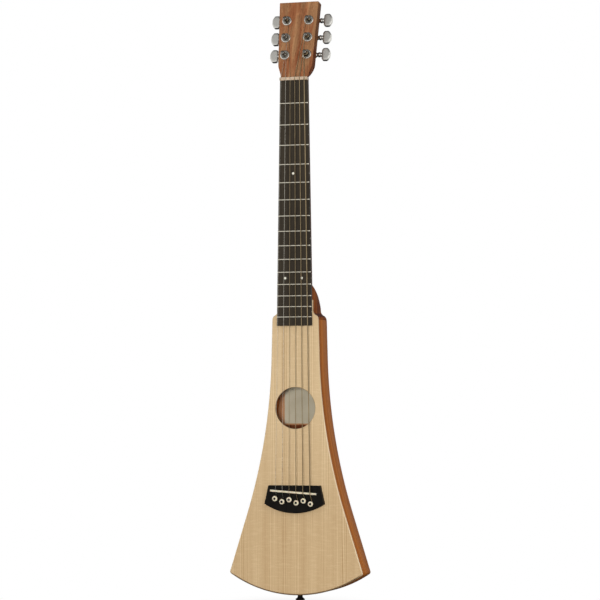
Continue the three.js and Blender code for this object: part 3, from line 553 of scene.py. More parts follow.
# Neck: one piece of mahogany, from the tapered head with its small ears, down the round neck to the
# heel, which spreads into the body's shoulders and ends in a block glued inside the body.
nut_half, board_end, board_end_half = 21.45 * mm, -366.29 * mm, 27.15 * mm
head_tilt, head_length, ear_length = math.radians(12), 119.2 * mm, 22.2 * mm
ear_half, head_top_half = 26.9 * mm, 30.7 * mm
head = Matrix.Translation((0, 4 * mm, 5 * mm)) @ Matrix.Rotation(-head_tilt, 4, "X")
post_side, first_post, post_step = 17.2 * mm, 35.6 * mm, 27.1 * mm
tuner_places = [
    (label + str(row + 1), side, side * post_side, first_post + post_step * row)
    for label, side in (("bass_", 1), ("treble_", -1))
    for row in range(3)
]


def between(low, high, share):
    """A value part of the way from one to another."""
    return low + (high - low) * share


def gently(share):
    """A share from 0 to 1 that starts and ends slowly."""
    share = min(1, max(0, share))
    return share * share * (3 - 2 * share)


def board_half(z):
    """Half the fingerboard's width at a height."""
    return between(nut_half, board_end_half, max(0, z / board_end))


def section(half, front, back, squareness, place, corner=0.2 * mm):
    """One section of the neck: flat in front with small corners, and a round or squared back."""
    off = 0.29 * corner
    edge = [(half - corner - 0.6 * mm, front), (half - corner, front)]
    edge += [(half - off, front + off), (half, front + corner)]
    for i in range(1, 24):
        turn, power = math.pi / 2 * i / 24, 2 / squareness
        depth = (back - front) * math.sin(turn) ** power
        edge.append((half * math.cos(turn) ** power, front + depth))
    return [place @ Vector((x, y, 0)) for x, y in both_halves(edge + [(0, back)])]


def head_section(z, inset=0):
    """A section of the head, which widens over its ears and then on to its top."""
    ear = gently(z / ear_length)
    above = max(0, z - ear_length) / (head_length - ear_length)
    half = between(nut_half, between(ear_half, head_top_half, above), ear) - inset
    back = between(14, 16, ear) * mm - inset
    place = head @ Matrix.Translation((0, 0, z))
    return section(half, inset, back, between(2.3, 24, ear), place, between(0.2, 0.9, ear) * mm)


top_rounding = ((0, 1.5), (0, 0.8), (0.23, 0.23), (0.8, 0), (1.6, 0))
sections = [head_section(head_length - drop * mm, inset * mm) for drop, inset in top_rounding]
heights = [between(ear_length, head_length, step / 6) for step in range(5, 0, -1)]
heights += [ear_length * step / 14 for step in range(14, -1, -1)]
sections += [head_section(z) for z in heights]
nut_step = Matrix.Translation((0, top_face, 4.7 * mm)) @ Matrix.Rotation(-head_tilt * 1.08, 4, "X")
sections.append(section(nut_half, 0, 12 * mm, 2.3, nut_step))
heel_top, heel_full = -306 * mm, -345 * mm
heights = [heel_top * step / 8 for step in range(8)]
heights += [between(heel_top, heel_full, step / 32) for step in range(32)]
heights = [z for z in heights if z > shoulder_top + 0.5 * mm]
for z in sorted(heights + [tongue_top + 0.02 * mm, tongue_top], reverse=True):
    down = max(0, (z - heel_top) / (heel_full - heel_top))
    depth = between(between(12, 16, min(1, z / heel_top)), 45, 1 - (1 - down) ** 2.5) * mm
    wider = gently((z - tongue_top) / (shoulder_top - tongue_top))
    half = between(board_half(z), tongue_half, wider)
    front = top_back if z <= tongue_top else top_face
    place = Matrix.Translation((0, 0, z))
    sections.append(section(half, front, top_face + depth, between(2.3, 24, down), place))
for half, z in shoulder_edge():
    square = between(24, 40, (shoulder_top - z) / (shoulder_top - shoulder_bottom))
    sections.append(section(half, top_back, back_face, square, Matrix.Translation((0, 0, z))))
inner_half = waist_half - side_thickness
for z in (shoulder_bottom - 0.01 * mm, shoulder_bottom - 18 * mm):
    place = Matrix.Translation((0, 0, z))
    sections.append(section(inner_half, top_back, back_inside, 40, place))

carved, spot = new_material("carved mahogany", Specular_IOR_Level=0.03)
height = xyz(spot)["Z"]
normal = spot.node.outputs["Normal"]
across, along = size_of(normal, "X"), size_of(normal, "Z")
# Painted shade: faces turned up or down, as on the heel, are darker, and so are faces turned
# sideways.
upright = ramp(along, 0.4, 0.85, 0, 0.7)
upright = calc("MULTIPLY", upright, ramp(across, 0.1, 0.3, 0.25, 1))
sideways = ramp(across, 0.5, 0.95, 0, 0.36)
# On the head the grain flows down towards the nut, with paler winding streaks.
bent_grain = turned_to(spot, shift=(0.013, 0.2, 0), turn=(0, math.radians(-6), 0))
flow = calc("SUBTRACT", noise(bent_grain, (0.012, 0.012, 0.07)), 0.5)
streak = ramp(calc("ABSOLUTE", flow), 0.0, 0.035, 0.18, 0)
streak = calc("MULTIPLY", streak, ramp(height, 0, 0.02))
patch = ramp(noise(bent_grain, (0.009, 0.02, 0.06)), 0.42, 0.6)
head_hue = blended(patch, "#b4875f", "#ad704b")
wooden(
    spot, (0.55, 0.12, 0.003), 0.00006, Vector=bent_grain,
    Pale=blended(ramp(height, 0, -0.05), head_hue, "#cf7426"), Deep="#4d2110",
    Line_Width=0.009, Line_Depth=0.14, Waver=ramp(height, 0.0, 0.05, 0.003, 0.011),
    Band_Depth=0.34, Pore_Depth=0.30,
    Darken=calc("ADD", upright, sideways, calc("SUBTRACT", 0.40, streak)),
)

neck = skin("neck", [sections], carved)


def plain(piece):
    """Turns a piece with modifiers into a plain mesh."""
    view = bpy.context.evaluated_depsgraph_get()
    mesh = bpy.data.meshes.new_from_object(piece.evaluated_get(view))
    piece.modifiers.clear()
    piece.data = mesh


def cut(piece, cutters):
    """Cuts closed pieces out of a piece and takes them out of the scene."""
    for cutter in cutters:
        change = piece.modifiers.new("cut", "BOOLEAN")
        change.operation, change.solver, change.object = "DIFFERENCE", "EXACT", cutter
    plain(piece)
    for cutter in cutters:
        bpy.data.objects.remove(cutter)
    eased(piece, 35)


def bend(enter, corner, leave, steps):
    """Points along the rounding of a corner."""
    shares = [i / steps for i in range(steps + 1)]
    return [enter.lerp(corner, share).lerp(corner.lerp(leave, share), share) for share in shares]


def softened(line, reach, steps, closed):
    """A line of points with each corner rounded, and a point either side to keep flats flat."""
    points = [Vector(point) for point in line]
    made = [] if closed else [points[0]]
    for i in range(len(points)) if closed else range(1, len(points) - 1):
        corner = points[i]
        runs = [way - corner for way in (points[i - 1], points[(i + 1) % len(points)])]
        short = min(reach, *(0.32 * run.length for run in runs))
        enter, leave = (corner + run.normalized() * short for run in runs)
        before, after = (corner + run.normalized() * short * 1.4 for run in runs)
        made += [before, *bend(enter, corner, leave, steps), after]
    return [tuple(point) for point in (made if closed else made + points[-1:])]


def turned(
    name, line, material=None, place=Matrix(), reach=0.0, steps=3, segments=40, ring=False
):
    """A turned piece about the Y axis. Its line of (radius, depth) points, in millimetres, starts
    and ends on the axis or runs round the section of a ring. Reach, in millimetres too, is how far
    from a corner its rounding starts."""
    points = [(radius * mm, depth * mm) for radius, depth in line]
    if reach:
        points = softened(points, reach * mm, steps, ring)
    shape = bmesh.new()
    rows = []
    for radius, y in points:
        angles = [2 * math.pi * i / segments for i in range(segments if radius else 1)]
        circle = [(radius * math.cos(a), y, radius * math.sin(a)) for a in angles]
        rows.append([shape.verts.new(point) for point in circle])
    for low, high in zip(rows, rows[1:] + (rows[:1] if ring else [])):
        for i in range(segments):
            a, b = low[i % len(low)], low[(i + 1) % len(low)]
            c, d = high[(i + 1) % len(high)], high[i % len(high)]
            shape.faces.new(list(dict.fromkeys((a, b, c, d))))
    return solid(name, shape, material, 35, place)


def rod(radius, near, far, place=Matrix(), segments=32):
    """A plain round cutter along Y, in millimetres."""
    line = [(0, near), (radius, near), (radius, far), (0, far)]
    return turned("cutter", line, place=place, segments=segments)


post_places = [head @ Matrix.Translation((x, 0, z)) for _, _, x, z in tuner_places]
post_hole = 4.65
cut(neck, [rod(post_hole, -4, 20, place) for place in post_places])
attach(neck, "guitar")
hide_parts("neck")


# Fingerboard: a hard black-brown board, glued on, tapered and slightly crowned. Pearl dots are let
# into its face and small white ones into its bass edge.
crown_radius, no_crown = 406 * mm, 1e6


def crown(x):
    """How far the fingerboard's face falls away from its middle."""
    return crown_radius - math.sqrt(crown_radius**2 - x**2)


def dark_hardwood(name, pale, deep, shift):
    """Close-grained black-brown wood, rubbed smooth and oiled."""
    made, spot = new_material(name, Specular_IOR_Level=0.12)
    wooden(
        spot, (0.5, 0.14, 0.003), 0.00005, Vector=turned_to(spot, shift=shift),
        Pale=pale, Deep=deep, Line_Width=0.0033, Line_Depth=0.3, Waver=0.001,
        Band_Depth=0.5, Pore_Depth=0.5, Darken=0.3,
    )
    return made


def board_section(z, inset=0):
    """A section of the fingerboard, with its two upper edges eased."""
    half, off = board_half(z) - inset, 0.5 * mm
    edge = [(half, top_face), (half, crown(half) + off + inset)]
    edge.append((half - 0.15 * mm, crown(half) + 0.15 * mm + inset))
    face = [(half - off) * (1 - i / 12) for i in range(13)]
    return [(x, y, z) for x, y in both_halves(edge + [(x, crown(x) + inset) for x in face])]


board_wood = dark_hardwood("fingerboard wood", "#3c352b", "#211d18", (0.3, 0.05, 0))
board_sections = [board_section(z) for z in (0, board_end + 1.2 * mm, board_end + 0.4 * mm)]
board_sections.append(board_section(board_end, 0.4 * mm))
fingerboard = skin("fingerboard", [board_sections], board_wood)
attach(fingerboard, "guitar")
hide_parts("fingerboard")


def copied(points, template, scale=(1, 1, 1)):
    """Copies of an object on points, in a Geometry Nodes tree."""
    source = new_node("GeometryNodeObjectInfo", {"Object": template})["Geometry"]
    inputs = {"Points": points, "Instance": source, "Scale": scale}
    return new_node("GeometryNodeInstanceOnPoints", inputs)[0]


def end_tree(given, out, shape):
    """Ends a Geometry Nodes tree: copies become real, sink to the crown of the board where the tree
    has its radius, and get their material."""
    tree = shape.id_data
    real = new_node("GeometryNodeRealizeInstances", {0: shape})[0]
    if "Crown Radius" in given:
        x = xyz(new_node("GeometryNodeInputPosition", tree=tree)[0])["X"]
        width = calc("MULTIPLY", given["Crown Radius"], 2)
        fall = calc("DIVIDE", calc("MULTIPLY", x, x), width)
        sunk = {"Geometry": real, "Offset": vector_of(y=fall)}
        real = new_node("GeometryNodeSetPosition", sunk)[0]
    dressed = {"Geometry": real, "Material": given["Material"]}
    tree.links.new(new_node("GeometryNodeSetMaterial", dressed)[0], out["Geometry"])


def grown(name, tree, start, values, crease=35):
    """Runs a Geometry Nodes tree on a start mesh with the given inputs, and keeps a plain mesh."""
    made = add(name, start)
    change = made.modifiers.new("grown", "NODES")
    change.node_group = tree
    for item in tree.interface.items_tree:
        if item.in_out == "INPUT" and item.name in values:
            change[item.identifier] = values[item.name]
    plain(made)
    eased(made, crease)
    return made


def dots(points):
    """A mesh of loose points."""
    mesh = bpy.data.meshes.new("dots")
    mesh.from_pydata(points, [], [])
    return mesh


sockets = {"Template": "Object", "Crown Radius": "Float", "Material": "Material"}
copies, given, out = new_group("copies on points", sockets)
end_tree(given, out, copied(given["Geometry"], given["Template"]))


def repeated(name, template, points, material, crown_radius=no_crown, crease=35):
    """One template on every point, sunk to the crown of the board. The template is taken out."""
    values = {"Template": template, "Crown Radius": crown_radius, "Material": material}
    made = grown(name, copies, dots(points), values, crease)
    bpy.data.objects.remove(template)
    return made


pearl, spot = new_material("pearl", Specular_IOR_Level=0.6, Coat_Weight=0.3, Coat_Roughness=0.1)
sheen = new_node("ShaderNodeValToRGB", {"Fac": noise(spot, (0.0012, 0.0012, 0.0016), 3)})[0]
stops = sheen.node.color_ramp.elements
stops.new(0.6)
for stop, place, code in zip(stops, (0.3, 0.5, 0.72), ("#cfcfc2", "#e9e2cf", "#bfd0cb")):
    stop.position, stop.color = place, colour(code)
finish(spot, sheen, (0.28, 0.08, 0.001))

line = [(0, -0.04), (1.85, -0.04), (1.85, 0.8), (0, 0.8)]
face_dot = turned("face dot", line, reach=0.06, steps=4)
spots = [(x * mm, 0, z * mm) for x, z in ((-0.8, -139.4), (-13.6, -295.5), (12.2, -295.5))]
face_dots = repeated("face_dots", face_dot, spots, pearl, crown_radius)
scale_length, fret_count = 609.6 * mm, 15


def fret_height(number):
    """Where a fret lies: each one shortens the string by the twelfth root of two."""
    return -scale_length * (1 - 2 ** (-number / 12))


line = [(0, 0.04), (0.7, 0.04), (0.7, -0.8), (0, -0.8)]
outwards = Matrix.Rotation(-math.pi / 2, 4, "Z")
side_dot = turned("side dot", line, place=outwards, reach=0.06, steps=4, segments=24)
heights = [(fret_height(fret) + fret_height(fret - 1)) / 2 for fret in (3, 5, 7, 9, 12, 15)]
spots = [(board_half(z), 3.1 * mm, z) for z in heights]
side_dots = repeated("side_dots", side_dot, spots, pearl)
for piece in (face_dots, side_dots):
    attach(piece, "guitar")


# Frets: fifteen lengths of crowned nickel wire, pressed into sawn slots by a thin tang, cut to the
# board's width and bevelled at both ends. They stand on the board by the rule of the scale.
nickel, spot = new_material("fret nickel", Metallic=1)
tint = blended(noise(spot, 0.004, 3), "#f2ebda", "#e0d8c5")
finish(spot, tint, (0.26, 0.12, 0.0008))

# One wire reaches from -1 to 1 across, and the tree stretches it to the board's width.
bevel = {1: 0.32, 0.985: 0.72, 0.965: 0.93, 0.945: 1}
foot = [(-1.1, 0.02), (-0.3, 0.05), (-0.3, 1.8), (0.3, 1.8), (0.3, 0.05), (1.1, 0.02)]
fret_rings = []
for x in [-x for x in bevel] + [i / 10 for i in range(-9, 10)] + list(reversed(bevel)):
    height = bevel.get(abs(x), 1)
    turns = [math.pi * i / 12 for i in range(13)]
    bead = [(1.1 * math.cos(turn), -height * math.sin(turn) ** 0.8) for turn in turns]
    fret_rings.append([(x, y * mm, z * mm) for z, y in bead + foot])
fret_wire = skin("fret wire", [fret_rings], nickel, crease=50)

fret_values = {
    "Scale Length": scale_length, "Nut Half": nut_half, "End Half": board_end_half,
    "End": board_end, "Crown Radius": crown_radius,
}
sockets = {**dict.fromkeys(fret_values, "Float"), "Count": "Int", "Wire": "Object"}
fret_row, given, out = new_group("fret row", {**sockets, "Material": "Material"})
row = new_node("GeometryNodeMeshLine", {"Count": given["Count"]})[0]
number = calc("ADD", new_node("GeometryNodeInputIndex", tree=fret_row)[0], 1)
left = calc("POWER", 2, calc("DIVIDE", number, -12))
place_z = calc("MULTIPLY", calc("SUBTRACT", left, 1), given["Scale Length"])
wider = calc("SUBTRACT", given["End Half"], given["Nut Half"])
wider = calc("MULTIPLY", calc("DIVIDE", place_z, given["End"]), wider)
stretch = vector_of(calc("ADD", given["Nut Half"], wider), 1, 1)
lifted = {"Geometry": row, "Position": vector_of(z=place_z)}
row = new_node("GeometryNodeSetPosition", lifted)[0]
end_tree(given, out, copied(row, given["Wire"], stretch))
fret_values.update({"Count": fret_count, "Wire": fret_wire, "Material": nickel})
frets = grown("frets", fret_row, dots([(0, 0, 0)]), fret_values, crease=50)
bpy.data.objects.remove(fret_wire)
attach(frets, "guitar")
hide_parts(*("fret_" + str(number) for number in range(1, fret_count + 1)))


# Nut: a cream plastic bar at the fingerboard's top end, moulded and glued in place. A slot is filed
# into it for each string, and its two upper edges are rounded.
string_names = ["e", "b", "g", "d", "a", "low_e"]
gauges = [gauge * mm for gauge in (0.3, 0.41, 0.61, 0.81, 1.07, 1.35)]
set_shift = -1 * mm
nut_height, slot_height, nut_thickness = 2.7 * mm, 1.5 * mm, 4.8 * mm


def six_places(spacing):
    """Where the six strings lie across, from the thinnest one to the thickest."""
    return [set_shift + (i - 2.5) * spacing * mm for i in range(6)]


def pale_plastic(name, light, dark):
    """Cream plastic with faint clouds, polished smooth."""
    numbers = {"Specular_IOR_Level": 0.25, "Subsurface_Weight": 0.08, "Subsurface_Scale": 0.002}
    made, spot = new_material(name, **numbers)
    tint = blended(ramp(noise(spot, 0.006, 3), 0.3, 0.7), light, dark)
    finish(spot, tint, (0.34, 0.1, 0.0015), noise(spot, 0.0006), 0.00002)
    return made


def bar_section(x, top, foot, near, far, rounding=0.7 * mm):
    """A section of a bar that crosses the strings: two upper edges rounded, square below."""
    flank = top + rounding + 0.3 * mm
    points = [(foot, near), (flank, near)]
    for z, start in ((near + rounding, math.pi), (far - rounding, math.pi / 2)):
        for i in range(5):
            turn = start - math.pi / 2 * i / 4
            drop = rounding * (1 - math.sin(turn))
            points.append((top + drop, z + rounding * math.cos(turn)))
    points += [(flank, far), (foot, far)]
    return [(x, y, z) for y, z in points]


nut_places = six_places(7.3)
lip = crown(nut_half) - nut_height
full_half, bevelled = nut_half - 0.4 * mm, 0.4 * mm
stations = [(-nut_half, lip + 0.5 * mm, bevelled), (-full_half, lip, 0)]
for x, gauge in zip(nut_places, gauges):
    half, lip_here, floor_at = gauge / 2 + 0.08 * mm, crown(x) - nut_height, crown(x) - slot_height
    slot = [(half + 0.05 * mm, lip_here), (half, floor_at - gauge * 0.3), (half * 0.6, floor_at)]
    stations += [(x - shift, top, 0) for shift, top in slot]
    stations += [(x + shift, top, 0) for shift, top in reversed(slot)]
stations += [(full_half, lip, 0), (nut_half, lip + 0.5 * mm, bevelled)]
nut_sections = [
    bar_section(x, top, top_face, inset, nut_thickness - inset) for x, top, inset in stations
]
cream = pale_plastic("nut plastic", "#c9b69f", "#b59f85")
nut = skin("nut", [nut_sections], cream, crease=40)
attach(nut, "guitar")
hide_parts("nut")


# Bridge: a thick black hardwood plate with a round belly, glued on the top. It has a slanted slot
# for the cream saddle and six wells for the pins, each with a channel for its string.
bridge_face, bridge_top, wing = -2.3 * mm, -603.4 * mm, -630.7 * mm
bridge_half, belly, step_in = 46.2 * mm, 13.8 * mm, 0.8 * mm
saddle_middle, saddle_angle = -613.55 * mm, math.radians(3.9)
saddle_height, saddle_half, saddle_end = 5.5 * mm, 36 * mm, 1.5 * mm
saddle_place = Matrix.Translation((set_shift, 0, saddle_middle))
saddle_place = saddle_place @ Matrix.Rotation(saddle_angle, 4, "Y")
channel_x, channel_z = 1.8 * mm, 3.5 * mm
# These are in millimetres, as rod and turned take them.
bridge_depth, well_radius, channel_radius = 8.3, 2.6, 0.9


def saddle_line(x):
    """The height of the saddle's middle line, which slants so that thick strings are longer."""
    return saddle_middle - (x - set_shift) * math.tan(saddle_angle)


saddle_places = six_places(10.76)
pin_places = [
    (x, saddle_line(x) - (11.2 + i % 2 * 3.8) * mm) for i, x in enumerate(six_places(11.08))
]
belly_radius = (bridge_half**2 + belly**2) / 2 / belly
sweep = math.asin(bridge_half / belly_radius)
bridge_edge = [(x, bridge_top) for x in (0, 20 * mm, 39.5 * mm)]
bridge_edge.append((40.3 * mm, bridge_top - step_in))
heart = (0, wing - belly + belly_radius)
bridge_edge += arc(heart, belly_radius, sweep - math.pi / 2, -math.pi / 2, 28)
bridge_loop = both_halves(bridge_edge)[:-1]
bridge_rings = rim(bridge_loop, bridge_face, top_face, 1.1 * mm, steps=4, back_rounding=0.05 * mm)
bridge_wood = dark_hardwood("bridge wood", "#15120e", "#080706", (0.1, 0.02, 0.3))
bridge = skin("bridge", [bridge_rings], bridge_wood)
slot_loop = [(x * 36.3 * mm, z * 1.65 * mm) for x, z in ((-1, -1), (1, -1), (1, 1), (-1, 1))]
slot_rings = prism(slot_loop, bridge_face - 1 * mm, bridge_face + 4 * mm)
cutters = [skin("cutter", [slot_rings], place=saddle_place)]
for x, z in pin_places:
    well = Matrix.Translation((x, bridge_face, z))
    channel = Matrix.Translation((x + channel_x, bridge_face, z + channel_z))
    cutters.append(rod(well_radius, -1, bridge_depth + 1, well, 24))
    cutters.append(rod(channel_radius, -1, bridge_depth + 1, channel, 16))
cut(bridge, cutters)
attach(bridge, "guitar")
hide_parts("bridge")

# The saddle's top follows the crown of the board and rounds off at both ends.
ivory = pale_plastic("saddle and pin plastic", "#e0d5bd", "#d0c3a6")
stations = [saddle_half * (i / 20 - 1) for i in range(41)]
for inset in (0.12, 0.4, 0.8, 1.2):
    stations += [saddle_half - inset * mm, inset * mm - saddle_half]
saddle_sections = []
for x in sorted(stations):
    end = 1 - min(1, (saddle_half - abs(x)) / saddle_end)
    top = crown(x) - saddle_height + saddle_end * (1 - math.sqrt(1 - end**2))
    foot = bridge_face + 3.7 * mm
    saddle_sections.append(bar_section(x, top, foot, -1.5 * mm, 1.5 * mm, 1.2 * mm))
saddle = skin("saddle", [saddle_sections], ivory, crease=40, place=saddle_place)
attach(saddle, "guitar")
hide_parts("saddle")


# Bridge pins: six push-fit cream plastic pins that hold the strings' ball ends under the top, each
# with a small black dot in its round head.
black_plastic, spot = new_material("black plastic", Specular_IOR_Level=0.2)
tint = blended(noise(spot, 0.003, 3), "#191817", "#0f0e0e")
finish(spot, tint, (0.32, 0.12, 0.002), noise(spot, 0.0005), 0.000015)

spots = [(x, bridge_face, z) for x, z in pin_places]
line = [
    (0, 20), (1.2, 20), (1.7, 18.5), (2.4, bridge_depth), (2.4, -0.6), (3, -2), (3.75, -2),
    (4, -2.5), (4, -3), (3.5, -3.9), (2.2, -4.5), (0, -4.6),
]
pin_form = turned("pin form", line, reach=0.35)
pins = repeated("bridge_pins", pin_form, spots, ivory, crease=50)
line = [(0, -4.68), (1.2, -4.65), (2, -4.5), (2, -3.68), (0, -3.68)]
dot_form = turned("dot form", line, reach=0.1, steps=4, segments=24)
pin_dots = repeated("bridge_pin_dots", dot_form, spots, black_plastic)
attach(pins, "guitar")
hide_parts(*("bridge_pin_" + name for name in string_names))
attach(pin_dots, "guitar")


# Tuners: six closed chrome ones, three a side. Each has a cast case behind the head, a boss towards
# its knob, and a bushing through the wood that is drawn tight by a hexagon over a washer.
def plated(name, light, dark, patch, shade, base, grain, level=0.5):
    """Plated metal, duller in patches, with painted dark reflections on faces turned up or down."""
    made, spot = new_material(name, Metallic=1)
    dulled = noise(spot, patch)
    tint = blended(ramp(dulled, 0.3, 0.7), light, dark)
    facing = size_of(new_node("ShaderNodeNewGeometry", tree=spot.id_data)["Normal"], "Z")
    reflection_darkened = blended(ramp(facing, level, level + 0.35, 0, shade), tint, "#171614")
    finish(spot, reflection_darkened, (base, 0.12, grain), dulled, 0.00001)
    return made


# Each plating gets painted dark reflections on faces turned up or down; the bosses' start soonest.
chrome = plated("chrome", "#e2dfd6", "#c4c0b8", 0.005, 0.9, 0.14, 0.0012)
# Painted reflection and shade: hexagons and posts get a darker plating than the rest.
painted_dark_nickel = plated("painted dark nickel", "#a8a59d", "#4a4843", 0.0015, 0.7, 0.2, 0.001)
boss_chrome = plated("boss chrome", "#f4f2ec", "#e2e0d9", 0.0009, 0.95, 0.3, 0.0008, level=0.3)
satin_chrome = plated("satin chrome", "#e8e6df", "#cfcdc6", 0.00045, 0.8, 0.4, 0.0008)

# These sizes are in millimetres, as turned takes them.
case_front, case_depth, worm_depth, worm_rise = 16.2, 11.5, 21.95, 6
boss_end, knob_start, knob_end = 15, 15.3, 30.3


def joined(name, pieces, place, crease=35):
    """Makes several pieces one and moves it into its place."""
    shape = bmesh.new()
    materials = []
    for piece in pieces:
        first = len(shape.faces)
        shape.from_mesh(piece.data)
        shape.faces.ensure_lookup_table()
        for face in shape.faces[first:]:
            material = piece.data.materials[face.material_index]
            if material not in materials:
                materials.append(material)
            face.material_index = materials.index(material)
        bpy.data.objects.remove(piece)
    mesh = bpy.data.meshes.new(name)
    shape.to_mesh(mesh)
    shape.free()
    for material in materials:
        mesh.materials.append(material)
    mesh.transform(place)
    made = add(name, mesh)
    eased(made, crease)
    return made


def rounded_box(left, right, low, high, radius, steps=6):
    """A rectangle with round corners, in millimetres, as a closed loop of (x, z)."""
    left, right, low, high = left + radius, right - radius, low + radius, high - radius
    loop = []
    for i, corner in enumerate(((right, high), (left, high), (left, low), (right, low))):
        loop += arc(corner, radius, i * math.pi / 2, (i + 1) * math.pi / 2, steps)
    return [(x * mm, z * mm) for x, z in loop]


def shaft_line(side):
    """Turns a piece made about Y so that it lies along the knob's shaft."""
    place = Matrix.Translation((0, worm_depth * mm, worm_rise * mm))
    return place @ Matrix.Rotation(-side * math.pi / 2, 4, "Z")


def tuner_housing(name, side, place):
    """The fixed part of a tuner: case with its lug, boss, bushing, washer and hexagon."""
    left, right = sorted((-8 * side, 6 * side))
    front, back, thin = case_front * mm, (case_front + case_depth) * mm, (case_front + 1.6) * mm
    loop = rounded_box(left, right, -8, 12, 4)
    rings = rim(loop, front, back, 0.3 * mm, back_rounding=2.6 * mm, steps=6, margin=0.5 * mm)
    case = skin("case", [rings], chrome)
    loop = rounded_box(-2.6, 2.6, -12.4, -7, 2.5)
    lug = skin("lug", [rim(loop, front, thin, 0.1 * mm, back_rounding=0.4 * mm)], chrome)
    line = [
        (0, 3), (4.6, 3), (4.6, 7.4), (3.1, 9.4), (3.1, 11.2), (3.9, 11.8), (3.9, 14.3),
        (3.4, boss_end), (0, boss_end),
    ]
    boss = turned("boss", line, boss_chrome, shaft_line(side), reach=0.3)
    line = [(0, -1), (4.6, -1), (4.6, case_front + 1), (0, case_front + 1)]
    bushing = turned("bushing", line, chrome)
    line = [(0, -1.3), (6.4, -1.3), (7.2, -0.9), (7.2, 0), (0, 0)]
    washer = turned("washer", line, chrome, reach=0.25)
    loop = arc((0, 0), 5.9 * mm, 0, 2 * math.pi, 6)[:-1]
    rings = rim(loop, -2.9 * mm, -1.2 * mm, 0.45 * mm, back_rounding=0.05 * mm)
    hexagon = skin("hexagon", [rings], painted_dark_nickel)
    post_bore = (3.2, -4, worm_depth)
    inner_bores = [
        (3.9, worm_depth - 2.3, worm_depth + 2.3),
        (2.1, -6, 11, shaft_line(side), 24),
        (2.3, 9, 20, shaft_line(side), 24),
    ]
    for part in (case, boss, bushing, washer, hexagon):
        bores = inner_bores if part in (case, boss) else []
        cut(part, [rod(*bore) for bore in [post_bore] + bores])
    return joined(name, [case, lug, boss, bushing, washer, hexagon], place)


def tuner_post(name, side, place):
    """The turned post that the string winds on, with its cross hole and, in the case, its wheel."""
    line = [
        (0, worm_depth + 2), (2.3, worm_depth + 2), (2.3, worm_depth - 2), (2.9, worm_depth - 2),
        (2.9, -3.5), (2.3, -4.3), (2.3, -8.7), (2.9, -9.4), (2.9, -12.7), (2.3, -13.3), (0, -13.5),
    ]
    post = turned("post", line, painted_dark_nickel, reach=0.4)
    across = Matrix.Translation((0, -10.5 * mm, 0)) @ Matrix.Rotation(math.pi / 2, 4, "X")
    cut(post, [rod(0.8, -6, 6, across, 16)])
    teeth = []
    for i in range(28):
        reach, turn = (3.6 if i % 2 else 3.0) * mm, math.pi * i / 14
        teeth.append((reach * math.cos(turn), reach * math.sin(turn)))
    rings = prism(teeth, (worm_depth - 1.8) * mm, (worm_depth + 1.8) * mm)
    return joined(name, [post, skin("wheel", [rings], chrome)], place)


def tuner_knob(name, side, place):
    """The flattened knob on its shaft: eight soft-cornered sides round a low pillow."""
    inner, half = knob_start + 1.6, 10.15
    edge = [(inner, 7.2)] + [
        (between(inner, knob_end, share), half - drop)
        for share, drop in ((0.16, 0.4), (0.3, 0), (0.66, 0), (0.84, 2.6))
    ]
    edge = [(x * mm, z * mm) for x, z in edge + [(knob_end, 3.4)]]
    loop = softened(edge + [(x, -z) for x, z in reversed(edge)], 1.8 * mm, 5, True)
    middle = (inner + knob_end) / 2 * mm
    steps = [
        (0.6, 0.02), (0.4, 0.05), (0.28, 0.12), (0.2, 0.26), (0.15, 0.45), (0.1, 0.8),
        (0.04, 1.6), (0.01, 2.3), (0, 3.2),
    ]
    rings = []
    for inset, sink in steps + [(inset, 7 - sink) for inset, sink in reversed(steps)]:
        y, low = (worm_depth + sink - 3.5) * mm, 1 - inset * 0.62
        ring = [(middle + (x - middle) * (1 - inset), z * low) for x, z in loop]
        rings.append([(side * x, y, worm_rise * mm + z) for x, z in ring])
    grip = skin("grip", [rings], satin_chrome, crease=60)
    line = [
        (0, -5.7), (1.3, -5.7), (1.3, 10.8), (2, 11), (2, knob_start), (3.4, knob_start),
        (3.4, knob_start + 1), (3, knob_start + 3.4), (0, knob_start + 3.6),
    ]
    shaft = turned("shaft", line, boss_chrome, shaft_line(side), reach=0.25)
    return joined(name, [grip, shaft], place, crease=60)


def cut_cross(screw, length, width, corner, near, far):
    """Cuts the cross slot into a screw's head. The sizes are in millimetres."""
    cutters = []
    for x, z in ((length, width), (width, length)):
        loop = rounded_box(-x, x, -z, z, corner, 2)
        cutters.append(skin("cutter", [prism(loop, near * mm, far * mm)]))
    cut(screw, cutters)


screw_points = []
for (tag, side, _, _), place in zip(tuner_places, post_places):
    housing = tuner_housing("tuner_housing_dressed_" + tag, side, place)
    post = tuner_post("tuner_post_dressed_" + tag, side, place)
    knob = tuner_knob("tuner_knob_dressed_" + tag, side, place)
    screw_points.append(tuple(place @ Vector((0, (case_front + 1.5) * mm, -10 * mm))))
    for piece, node, body in (
        (housing, "tuner_housing_", "guitar"),
        (post, "tuner_post_", "post_" + tag),
        (knob, "tuner_knob_", "knob_" + tag),
    ):
        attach(piece, body)
        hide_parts(node + tag)

line = [(0, 0), (1.8, 0), (1.8, 0.3), (1.3, 0.85), (0, 1.05)]
screw_form = turned("screw form", line, reach=0.2, segments=24)
cut_cross(screw_form, 0.9, 0.2, 0.1, 0.45, 2)
screw_form.data.transform(Matrix.Rotation(-head_tilt, 4, "X"))
case_screws = repeated("case_screws", screw_form, screw_points, chrome)
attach(case_screws, "guitar")


# Strings: two of plain steel and four wound with bronze, each from its ball end under the bridge,
# over the saddle and through the nut to its post, where it is wound on and the tail bent off.
steel, spot = new_material("string steel", Metallic=1)
tint = blended(noise(spot, (0.004, 0.004, 0.02), 3), "#d0cbbe", "#b4afa3")
finish(spot, tint, (0.28, 0.1, 0.003))

